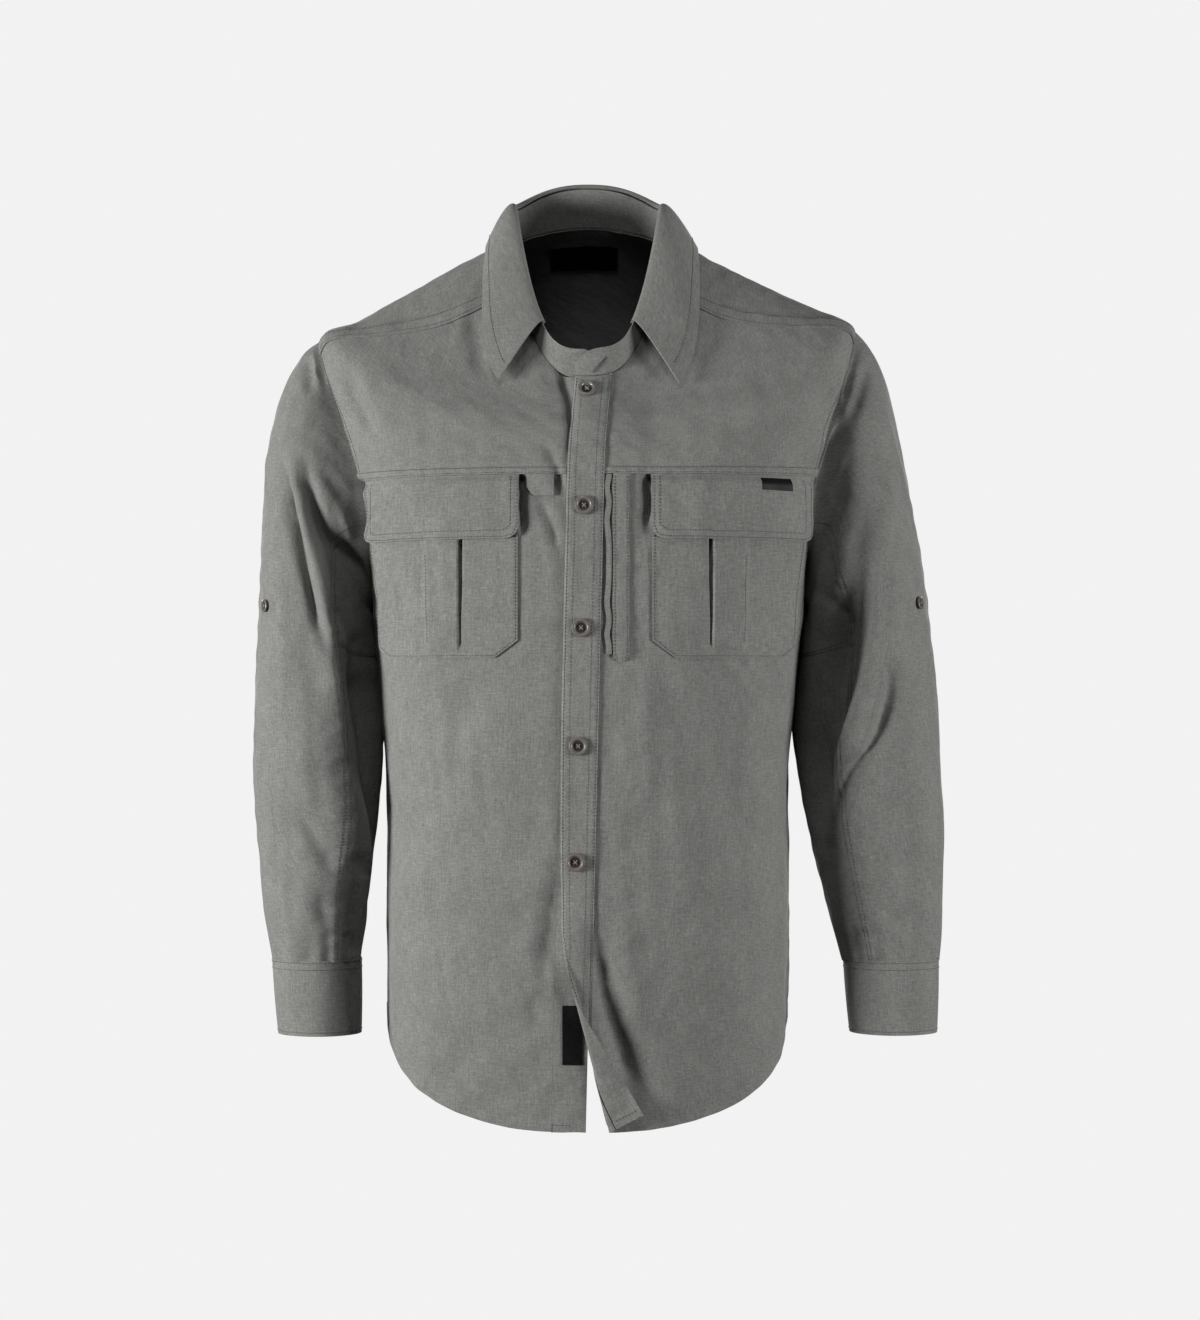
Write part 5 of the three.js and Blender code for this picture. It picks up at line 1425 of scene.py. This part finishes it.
TOOL_TAB = {"from": 29.5, "to": 53, "top": -220.6, "bottom": -241, "cuts": (0, 8), "low": 1.9, "thick": 1.6,
            "across": 16, "up": 14}
ZIP_WELT = {"from": 22, "to": 36.5, "top": -220.6, "bottom": -384, "cuts": (6, 6), "low": 1.9, "thick": 1.4,
            "across": 14, "up": 64, "puff": 0.6, "wave": 0.35}
ZIP_TAPE = {"from": 15.6, "to": 20.4, "top": -221, "bottom": -378, "cuts": (0, 0), "low": 1.9, "thick": 0.8,
            "across": 6, "up": 70, "wave": 0.9}
HEM_LABEL = {"from": 4.5, "to": 22, "top": -686, "bottom": -739, "cuts": (0, 0), "low": 1.55, "thick": 0.5,
             "across": 12, "up": 26}


class SHIRT_OT_pockets(bpy.types.Operator):
    """Sew on the two chest pockets, their flaps and the small tab beside the right one"""

    bl_idname = "shirt.pockets"
    bl_label = "Pockets"

    def execute(self, context):
        for name, side in SIDES:
            add_pocket(name, side)
            add_flap(name, side)
        add_strip("tool_tab", -1, TOOL_TAB, "shirting")
        return {"FINISHED"}


ZIP_COIL = {"x": 21.2, "lift": 2.4, "pitch": 2.2}


def bars(centres, along, across, up, half_length, half_width, height):
    """Small six-sided bars, one at each centre: a ring of six points at both its ends, and their faces."""
    corner = np.radians(np.arange(6) * 60)
    ring = across[:, None] * np.cos(corner)[None, :, None] * half_width + up[:, None] * (
        np.sin(corner)[None, :, None] * height)
    ends = [centres[:, None] + sign * along[:, None] * half_length + ring for sign in (-1, 1)]
    points = np.concatenate(ends, axis=1).reshape(-1, 3)
    k = np.arange(6)
    sides = np.stack([k, (k + 1) % 6, (k + 1) % 6 + 6, k + 6], axis=1)
    first = np.arange(len(centres))[:, None, None] * 12
    faces = (sides[None] + first).reshape(-1, 4).tolist()
    caps = np.stack([k[::-1], k + 6])[None] + first
    return points, faces + caps.reshape(-1, 6).tolist()


class SHIRT_OT_zip(bpy.types.Operator):
    """Set in the chest zip: its tape, its coil and the welt beside it"""

    bl_idname = "shirt.zip"
    bl_label = "Chest zip"

    def execute(self, context):
        for part, strip, slot in (("tape", ZIP_TAPE, "zip_tape"), ("welt", ZIP_WELT, "shirting")):
            add_strip(f"chest_zip_{part}", 1, strip, slot,
                      name=f"zip_{part}_cloth")
        level = np.arange(ZIP_TAPE["bottom"] + 3, ZIP_TAPE["top"] - 4, ZIP_COIL["pitch"])
        x = np.full(len(level), ZIP_COIL["x"])
        at, out = sewn(lambda h: on_front(1, x, level, h), ZIP_COIL["lift"])
        up = unit(np.gradient(at, axis=0))
        points, faces = bars(at, unit(np.cross(up, out)), up, out, 0.9, 0.6, 0.5)
        add_mesh("zip_coil", points, faces, zip_nylon_and_slit_shade())
        return {"FINISHED"}


def sewn(surface, height):
    """Points on a surface at a height, and the outward directions there; surface gives the points."""
    at = surface(height)
    return at, unit(surface(height + 1) - at)


# The neck label by angle and level on the trunk, and the flap label by the pocket's lines.
NECK_LABEL = {"bottom": (163, 202), "top": (159, 207), "levels": (-5, 30), "face": -2.8, "back": -3.4}
FLAP_LABEL = {"from": 151, "to": 177.5, "bottom": -234.5, "top": -223.5, "face": 0.6, "back": 0.05}


class SHIRT_OT_labels(bpy.types.Operator):
    """Sew on the neck, flap and hem labels, all bare"""

    bl_idname = "shirt.labels"
    bl_label = "Labels"

    def execute(self, context):
        across, up = np.linspace(0, 1, 40)[None, :], np.linspace(0, 1, 24)[:, None]
        first, last = (mix(low, high, up) for low, high in zip(NECK_LABEL["bottom"], NECK_LABEL["top"]))
        angle = mix(first, last, across)
        level = mix(*NECK_LABEL["levels"], up) + 0 * across
        faces = layers(lambda h: trunk_point(angle, level, h), NECK_LABEL["face"], NECK_LABEL["back"])
        add_cloth("neck_label", faces, slot="label_cloth")
        line = np.linspace(FLAP_LABEL["from"], FLAP_LABEL["to"], 20)[None, :]
        level = np.linspace(FLAP_LABEL["bottom"], FLAP_LABEL["top"], 10)[:, None]
        line, level = np.broadcast_arrays(line, level)
        lift = flap_lift(level) + flap_wave(1, line, level) + FLAP["thick"]
        x = pocket_x(1, line, level)
        faces = layers(lambda h: on_front(1, x, level, lift + h), FLAP_LABEL["face"], FLAP_LABEL["back"])
        add_cloth("flap_label", faces, slot="label_cloth")
        add_strip("hem_label", -1, HEM_LABEL, "label_cloth")
        return {"FINISHED"}


# A button's half section from its back to the middle of its face, as shares of its radius and thickness.
BUTTON_R = (0, 0.8, 0.93, 1, 1, 0.95, 0.85, 0.74, 0.66, 0.6, 0.5, 0.2, 0)
BUTTON_Z = (0, 0, 0.12, 0.35, 0.62, 0.88, 1, 0.97, 0.8, 0.55, 0.48, 0.48, 0.48)
FRONT_BUTTON_LEVELS = (-146, -248, -355, -458, -559)
FRONT_BUTTON = {"radius": 8.3, "thickness": 3.2}
SMALL_BUTTON = {"radius": 5.8, "thickness": 2.6}
BUTTON_GAP = 0.5
CUFF_BUTTON = (0.5, 375)  # share of the cuff's height, and degrees round it
BUTTON_RIM_RINGS = 6  # so many rings belong to the rim, in its paler shade
BUTTON_ROUND = 40


def frame_on(normal):
    """Two directions across a normal, the second as near to upwards as can be."""
    side = unit(np.cross((0, 0, 1), normal))
    return side, np.cross(normal, side)


def add_button(name, button, at, normal):
    """A turned button: its half section carried round the normal, and two crossed bars of thread in its
    middle."""
    side, up = frame_on(normal)
    count = BUTTON_ROUND
    a = np.linspace(0, 2 * np.pi, count, endpoint=False)
    ring = np.cos(a)[:, None] * side + np.sin(a)[:, None] * up
    radius, height = np.array(BUTTON_R) * button["radius"], np.array(BUTTON_Z) * button["thickness"]
    rings = at + ring[None] * radius[1:-1, None, None] + normal * height[1:-1, None, None]
    points = np.concatenate([[at + normal * height[0]], rings.reshape(-1, 3), [at + normal * height[-1]]])
    index = 1 + np.arange(rings.shape[0] * count).reshape(-1, count)
    after = np.roll(index, -1, axis=1)
    walls = quads(index[:-1], after[:-1], after[1:], index[1:]).tolist()
    last = len(points) - 1
    caps = np.stack([after[0], index[0], 0 * index[0]], axis=1).tolist()
    caps += np.stack([index[-1], after[-1], 0 * index[-1] + last], axis=1).tolist()
    shade = np.concatenate([[BUTTON_R[0]], np.repeat(BUTTON_R[1:-1], count), [BUTTON_R[-1]]])
    shade[:1 + BUTTON_RIM_RINGS * count] = 1
    made = add_mesh(f"{name}_resin", points, walls + caps, button_resin(),
                    np.stack([shade, shade], axis=1), 35)
    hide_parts(name)
    middle = at + normal * (height[-1] + 0.35)
    half = button["radius"] * 0.27
    headings = np.array([side + up, side - up]) / np.sqrt(2)
    centres = np.array([middle, middle + normal * 0.3])
    points, faces = bars(centres, headings, np.cross(headings, normal), np.array([normal, normal]), half,
                         0.5, 0.4)
    add_mesh(f"{name}_thread", points, faces, button_thread())


def level_at(x, z):
    """The level at which the front passes a height, by halving."""
    low, high = HEM_FRONT, NECK
    for _ in range(40):
        middle = (low + high) / 2
        if trunk_base(angle_at(x, middle), middle)[..., 2] < z:
            low = middle
        else:
            high = middle
    return (low + high) / 2


class SHIRT_OT_buttons(bpy.types.Operator):
    """Sew on the front, sleeve and cuff buttons"""

    bl_idname = "shirt.buttons"
    bl_label = "Buttons"

    def execute(self, context):
        for i, z in enumerate(FRONT_BUTTON_LEVELS):
            x = button_line(z)
            level = level_at(x, z)
            at, out = sewn(lambda h: on_front(1, x, level, h),
                           UNDER_PLACKET_LIFT + size("band") + BUTTON_GAP + 0.4)
            add_button(f"front_button_{i + 1}", FRONT_BUTTON, at, out)
        for name, sleeve in SLEEVES.items():
            along, turn = sleeve["button"]["along"], sleeve["button"]["turn"]
            at, out = sewn(lambda h: sleeve_point(sleeve, along, turn, h), size("cloth") + BUTTON_GAP)
            add_button(f"sleeve_button_{name}", SMALL_BUTTON, at, out)
            at, out = sewn(lambda h: cuff_point(sleeve, *CUFF_BUTTON, h), size("band") + BUTTON_GAP)
            add_button(f"cuff_button_{name}", SMALL_BUTTON, at, out)
        return {"FINISHED"}


def add_buttonhole(name, at, out):
    """A buttonhole along a line of points: satin stitches side by side, and between its lips a row of dark
    bars that is painted shade in its cut.
    """
    along = unit(np.gradient(at, axis=0))
    across = np.cross(out, along)
    points, faces = bars(at + out * 0.2, across, along, out, 1.3, 0.42, 0.4)
    add_mesh(f"{name}_lips", points, faces, sewing_thread())
    # painted shade: dark bars along the middle stand for the shade in the cut between the lips
    inner = slice(2, -2)
    at, out, along, across = (values[inner] for values in (at, out, along, across))
    points, faces = bars(at + out * 0.45, along, across, out, 0.5, 0.28, 0.3)
    add_mesh(f"{name}_slit", points, faces, zip_nylon_and_slit_shade())


def line_run(points):
    """Distance along a line of points from its first one."""
    return np.concatenate([[0], np.cumsum(length_of(np.diff(points, axis=0)))])


def between(places, run, points):
    """Points at distances along a line of points."""
    return np.stack([np.interp(places, run, points[:, k]) for k in range(points.shape[1])], axis=1)


def stitches(lines):
    """Stitches along lines of points with outward directions. Each is a bar of four sides that comes out of
    the cloth at both ends, a stitch long and a pitch from the next."""
    rows = []
    for at, out in lines:
        run = line_run(at)
        first = np.arange(0, run[-1] - size("stitch"), size("pitch"))
        last = first + size("stitch")
        rows.append((between(first, run, at), between(last, run, at), between(first, run, out)))
    start, end, out = (np.concatenate(column) for column in zip(*rows))
    out = unit(out)
    radius = size("thread") / 2
    along = unit(end - start)
    side = unit(np.cross(out, along))
    corners = [side * radius, out * radius, -side * radius, -out * radius]
    rings = [start + (end - start) * share + out * radius * 0.9 for share in (0.14, 0.86)]
    points = np.stack([start - out * radius * 0.4]
                      + [ring + corner for ring in rings for corner in corners]
                      + [end - out * radius * 0.4], axis=1)
    pattern = [(1 + k, 1 + (k + 1) % 4, 5 + (k + 1) % 4, 5 + k) for k in range(4)]
    tips = [(0, 1 + (k + 1) % 4, 1 + k) for k in range(4)] + [(9, 5 + k, 5 + (k + 1) % 4) for k in range(4)]
    offset = np.arange(len(start))[:, None, None] * 10
    faces = (np.array(pattern)[None] + offset).reshape(-1, 4).tolist()
    faces += (np.array(tips)[None] + offset).reshape(-1, 3).tolist()
    return points.reshape(-1, 3), faces


def dense(outline):
    """Points about 1 mm apart along a line through a few places."""
    outline = np.asarray(outline, float)
    run = line_run(outline)
    return between(np.arange(0, run[-1], 1.0), run, outline).T


def add_stitches(name, lines):
    points, faces = stitches(lines)
    add_mesh(name, points, faces, sewing_thread(), sharp=80)


# Rows of stitches, by their distance from the edge or seam.
PLACKET_ROWS = {"folded": (1.6, 7.5), "free": (1.8, 7.5)}
HEM_ROW = 1.5
CHEST_ROWS = (1.8, 7.6)
YOKE_FRONT_ROWS = (0.8, 3.4)  # in degrees
YOKE_BACK_ROWS = (2, 8)
POCKET_ROW = 1.8
PLEAT_ROW = 3
FLAP_ROWS = (1.8, 7)
SLEEVE_ROWS = (1.6, 6.2)  # in degrees
GUSSET_ROWS = (0.04, 0.14)  # in steps along the sleeve
ARMHOLE_ROWS = (2, 7.5)
CUFF_ROWS = (0.03, 0.12, 0.95)  # as shares of its height
WELT_ROW = ((23.6, -223), (23.6, -378), (25.5, -382), (33, -382), (35, -378), (35, -223))


def front_stitches():
    """Rows on the fronts: along the placket, the chest seam and the hem."""
    cloth = size("cloth")
    band_top = UNDER_PLACKET_LIFT + size("band") + 0.1
    level = np.arange(HEM_FRONT + 2, NECK - 4, 1.0)
    folded, free = button_line(level) + PLACKET_IN, button_line(level) - placket_out(level)
    pressed = (LEFT_EDGE_PRESS / 2, 0)
    rows = [(folded - inset, 0) for inset in PLACKET_ROWS["folded"]]
    rows += [(free + inset, down) for inset, down in zip(PLACKET_ROWS["free"], pressed)]
    lines = [sewn(lambda h: on_front(1, x, level, h), band_top + 0.2 - down) for x, down in rows]
    corner = button_line(HEM_FRONT)
    x = np.arange(corner - placket_out(HEM_FRONT) + 1, corner + PLACKET_IN, 1.0)
    hem_row = HEM_FRONT + HEM_TURN - HEM_ROW
    at, out = sewn(lambda h: on_front(1, x, hem_row, h), UNDER_PLACKET_LIFT - HEM_RISE - 0.1)
    lines.append((at, -out))
    for side, first in ((1, 12), (-1, 8)):
        for rise in CHEST_ROWS:
            seam = CHEST_SEAM + rise
            inner = angle_at(front_inner_x(side, seam), seam)
            angle = mix(inner, panel_side(seam, True) - 0.5, np.linspace(0, 1, 160))
            x = trunk_base(angle, seam)[..., 0]
            lift = edge_lift(x - front_inner_x(1, seam)) if side > 0 else 0
            lines.append(sewn(lambda h: trunk_point(side * angle, seam + 0 * angle, h + lift), LAP + cloth))
        angle = np.linspace(first, SIDE_ANGLE, 240)
        edge = hem(angle) + HEM_TURN - HEM_ROW
        lines.append(sewn(lambda h: front_surface(side, angle, edge, h), cloth + 0.1))
    return lines


def yoke_stitches():
    """Twin rows on the yoke beside its front and back seams."""
    lines = []
    share = np.linspace(0.02, 0.98, 120)
    level = mix(NECK, YOKE_START_LEVEL, share)
    for _, side in SIDES:
        for out in YOKE_FRONT_ROWS:
            angle = mix(YOKE_NECK_ANGLE, YOKE_START_ANGLE, share) + out
            lines.append(sewn(lambda h: trunk_point(side * angle, level, h), LAP + size("cloth")))
    for rise in YOKE_BACK_ROWS:
        first = armhole_angle(-BACK_YOKE_STEP) + 1
        angle = np.linspace(first, 360 - first, 300)
        lines.append(sewn(lambda h: trunk_point(angle, BACK_TOP + rise + 0 * angle, h), LAP + size("cloth")))
    return lines


def pocket_row(side, line, level, lift):
    """A row of stitches on a pocket or flap, at a lift over the front."""
    return sewn(lambda h: on_front(side, pocket_x(side, line, level), level, h + lift), 0.1)


def pocket_stitches():
    """Rows round the pockets and flaps, beside the pleat and on the zip's welt."""
    lines = []
    bottom = POCKET["bottom"]
    pocket_in, pocket_out = POCKET_FIRST + POCKET_ROW, POCKET_LAST - POCKET_ROW
    round_pocket = [(pocket_in, -240), (pocket_in, bottom + POCKET["cut_in"] + 1),
                    (POCKET_FIRST + 20, bottom + POCKET_ROW), (POCKET_LAST - 10, bottom + POCKET_ROW),
                    (pocket_out, bottom + 10), (pocket_out, -240)]
    pleat = PLEAT["last"] - PLEAT_ROW
    for _, side in SIDES:
        for outline in (round_pocket, [(pleat, -290), (pleat, bottom + 12)]):
            line, level = dense(outline)
            lift = POCKET["lift"] + size("cloth") + pocket_rise(line, level)
            lines.append(pocket_row(side, line, level, lift))
        last = POCKET_LAST + FLAP_OUT[side]
        for inset in FLAP_ROWS:
            inner, outer, low = POCKET_FIRST + inset, last - inset, FLAP["bottom"] + inset
            outline = [(inner - 1, FLAP["top"] - 2), (inner - 1, FLAP["bottom"] + 11), (inner + 2, low + 2),
                       (POCKET_FIRST + 12, low), (last - 9, low), (outer - 2, low + 2),
                       (outer, FLAP["bottom"] + 9), (outer, FLAP["top"] - 2)]
            line, level = dense(outline)
            lift = flap_lift(level) + flap_wave(side, line, level) + FLAP["thick"]
            lines.append(pocket_row(side, line, level, lift))
    top = ZIP_WELT["low"] + ZIP_WELT["thick"]
    x, level = dense(WELT_ROW)
    lines.append(sewn(lambda h: on_front(1, x, level, h + top), 0.4))
    return lines


def sleeve_stitches(sleeve):
    """Twin rows along the sleeve seams, across the gusset and beside the armhole, and rows round the cuff."""
    lines = []
    cloth = size("cloth")
    end = len(sleeve["rows"])
    along = np.linspace(0.1, end - 0.02, 500)
    for seam, way in ((SLEEVE_SEAM, -1), (-SLEEVE_SEAM, 1)):
        for inset in SLEEVE_ROWS:
            lines.append(sewn(lambda h: sleeve_point(sleeve, along, seam + way * inset, h), cloth + 0.15))
    turn = np.linspace(SLEEVE_SEAM + 1, 359 - SLEEVE_SEAM, 160)
    for inset in GUSSET_ROWS:
        place = GUSSET_END - inset + 0 * turn
        lines.append(sewn(lambda h: sleeve_point(sleeve, place, turn, h), cloth + 0.15))
    step = np.linspace(-ARMHOLE_STEPS / 2, ARMHOLE_STEPS / 2, 560)
    level, angle = armhole_level(step), armhole_angle(step)
    turned = np.radians(step * TURN_STEP)
    for inset in ARMHOLE_ROWS:
        inner_level = np.minimum(level - inset * np.cos(turned) * 0.9, NECK)
        inner_angle = angle - np.sign(step) * np.abs(np.sin(turned)) * inset * 0.25
        lines.append(sewn(lambda h: trunk_point(sleeve["sign"] * inner_angle, inner_level, h), cloth + 0.15))
    past = np.linspace(2, 360 + CUFF_LAP - 2, 420)
    for share in CUFF_ROWS:
        lines.append(sewn(lambda h: cuff_point(sleeve, share + 0 * past, past, h), size("band") + 0.1))
    return lines


def collar_stitches():
    """A row near the leaf's edge."""
    turns = np.linspace(-0.985, 0.985, 900)
    rows = leaf_base(turns[None, :], np.array((0.92, 0.9, 0.88))[:, None])
    normal = unit(np.cross(np.gradient(rows[1], axis=0), rows[2] - rows[0]))
    away = rows[1] - rows.mean((0, 1))
    normal = normal * np.sign((normal * away).sum(-1))[:, None]
    return [(rows[1] + normal * (size("leaf") + 0.1), normal)]


class SHIRT_OT_stitching(bpy.types.Operator):
    """Sew the rows of stitches that show"""

    bl_idname = "shirt.stitching"
    bl_label = "Stitching"

    def execute(self, context):
        add_stitches("front_stitching", front_stitches())
        add_stitches("yoke_stitching", yoke_stitches())
        add_stitches("pocket_stitching", pocket_stitches())
        add_stitches("collar_stitching", collar_stitches())
        for name, sleeve in SLEEVES.items():
            add_stitches(f"sleeve_stitching_{name}", sleeve_stitches(sleeve))
        # the stand's buttonhole: the dark bars in its cut are painted shade
        share = np.linspace(0, 1, 20)
        line = sewn(lambda h: stand_point(mix(177.5, 169.5, share), mix(0.12, 0.62, share), h), size("stand"))
        add_buttonhole("stand_buttonhole", *line)
        return {"FINISHED"}


# The stage, in metres and degrees. power names the stage's setting that a light takes.
CAMERA_HEIGHT = -0.383
CAMERA_X = 0.011
FLOOR = -1.25
SWEEP = ((0.0001, FLOOR), (4, FLOOR), (5, FLOOR + 0.3), (5.6, FLOOR + 1), (5.8, FLOOR + 2), (5.8, 2), (5, 4),
         (3, 5.4), (0.0001, 6))
SWEEP_ROWS = 48
SWEEP_ROUND = 72
LIGHT_COLUMNS = ("name", "azimuth", "elevation", "distance", "wide", "power")
LIGHTS = table(LIGHT_COLUMNS, (
    ("key", -64, 1, 3.2, 1.1, "key"),
    ("fill", 64, -3, 3.2, 1.1, "fill"),
    ("front", -8, 50, 3.2, 1.2, "front"),
    ("back_left", 158, 12, 3.4, 1.4, "back"),
    ("back_right", -158, 12, 3.4, 1.4, "back"),
))


def add_backdrop(colour):
    """Floor and backdrop in one sweep: a turned profile of a flat floor, a round cove, a wall and a dome.
    Only the camera sees it, so the shirt is lit by the lights alone."""
    path = soft_path(SWEEP, SWEEP_ROWS)
    a = np.linspace(0, 2 * np.pi, SWEEP_ROUND, endpoint=False)
    points = np.stack([np.outer(path[:, 0], np.cos(a)), np.outer(path[:, 0], np.sin(a)),
                       np.outer(path[:, 1], np.ones(SWEEP_ROUND))], axis=-1)
    index = np.arange(SWEEP_ROWS * SWEEP_ROUND).reshape(SWEEP_ROWS, SWEEP_ROUND)
    after = np.roll(index, -1, axis=1)
    faces = quads(index[:-1], index[1:], after[1:], after[:-1]).tolist()
    mesh = bpy.data.meshes.new("backdrop")
    mesh.from_pydata(points.reshape(-1, 3).tolist(), [], faces)
    mesh.shade_smooth()
    material = bpy.data.materials.new("Painted studio sweep")
    material.use_nodes = True
    tree = material.node_tree
    tree.nodes.remove(tree.nodes["Principled BSDF"])
    lit = node(tree, "ShaderNodeEmission", {"Color": (*colour, 1), "Strength": 1})
    tree.links.new(lit.outputs[0], tree.nodes["Material Output"].inputs["Surface"])
    mesh.materials.append(material)
    sweep = bpy.data.objects.new("backdrop", mesh)
    bpy.context.scene.collection.objects.link(sweep)
    for way in ("diffuse", "glossy", "transmission", "volume_scatter", "shadow"):
        setattr(sweep, f"visible_{way}", False)


def add_light(name, azimuth, elevation, distance, wide, power):
    """An area light on a sphere round the shirt's middle, facing it. Azimuth 0 is the camera's side and 90
    the right."""
    a, e = np.radians(azimuth), np.radians(elevation)
    away = np.array((np.sin(a) * np.cos(e), -np.cos(a) * np.cos(e), np.sin(e)))
    lamp = bpy.data.lights.new(name, "AREA")
    lamp.shape, lamp.size, lamp.energy = "DISK", wide, power
    light = bpy.data.objects.new(name, lamp)
    light.location = away * distance + np.array((0, 0, CAMERA_HEIGHT))
    light.rotation_euler = (np.pi / 2 - e, 0, a)
    light.visible_camera = False
    bpy.context.scene.collection.objects.link(light)


class SHIRT_OT_stage(bpy.types.Operator):
    """Set up the camera, the lights and the backdrop"""

    bl_idname = "shirt.stage"
    bl_label = "Stage"

    def execute(self, context):
        scene = context.scene
        stage = scene.shirt_stage
        camera = bpy.data.objects.new("camera", bpy.data.cameras.new("camera"))
        camera.data.lens = stage.lens
        camera.location = (CAMERA_X, -stage.distance, CAMERA_HEIGHT)
        camera.rotation_euler = (np.pi / 2, 0, 0)
        scene.collection.objects.link(camera)
        scene.camera = camera
        add_backdrop(stage.backdrop)
        for light in LIGHTS:
            add_light(**{**light, "power": getattr(stage, light["power"])})
        world = bpy.data.worlds.new("studio")
        world.use_nodes = True
        background = world.node_tree.nodes["Background"]
        background.inputs["Color"].default_value = (1, 1, 1, 1)
        background.inputs["Strength"].default_value = stage.ambient
        scene.world = world
        scene.view_settings.view_transform = "Standard"
        return {"FINISHED"}


STEPS = (
    SHIRT_OT_stage, SHIRT_OT_fronts, SHIRT_OT_plackets, SHIRT_OT_back, SHIRT_OT_collar, SHIRT_OT_sleeves,
    SHIRT_OT_cuffs, SHIRT_OT_pockets, SHIRT_OT_zip, SHIRT_OT_labels, SHIRT_OT_buttons, SHIRT_OT_stitching,
)


class SHIRT_PT_panel(bpy.types.Panel):
    """Lists the shirt's sizes, colours and steps"""

    bl_idname = "SHIRT_PT_panel"
    bl_label = "Work shirt"
    bl_space_type = "VIEW_3D"
    bl_region_type = "UI"
    bl_category = "Shirt"

    def draw(self, context):
        for group in (context.scene.shirt_sizes, context.scene.shirt_colours, context.scene.shirt_stage):
            box = self.layout.box()
            for name in group.__annotations__:
                box.prop(group, name)
        for step in STEPS:
            self.layout.operator(step.bl_idname)


GROUPS = (("shirt_sizes", ShirtSizes), ("shirt_colours", ShirtColours), ("shirt_stage", ShirtStage))


def register():
    for name, group in GROUPS:
        bpy.utils.register_class(group)
        setattr(bpy.types.Scene, name, PointerProperty(type=group))
    for each in (*STEPS, SHIRT_PT_panel):
        bpy.utils.register_class(each)


def unregister():
    for each in reversed((*STEPS, SHIRT_PT_panel)):
        bpy.utils.unregister_class(each)
    for name, group in reversed(GROUPS):
        delattr(bpy.types.Scene, name)
        bpy.utils.unregister_class(group)


def main():
    register()
    for step in STEPS:
        group, name = step.bl_idname.split(".")
        getattr(getattr(bpy.ops, group), name)()


if __name__ == "__main__":
    main()
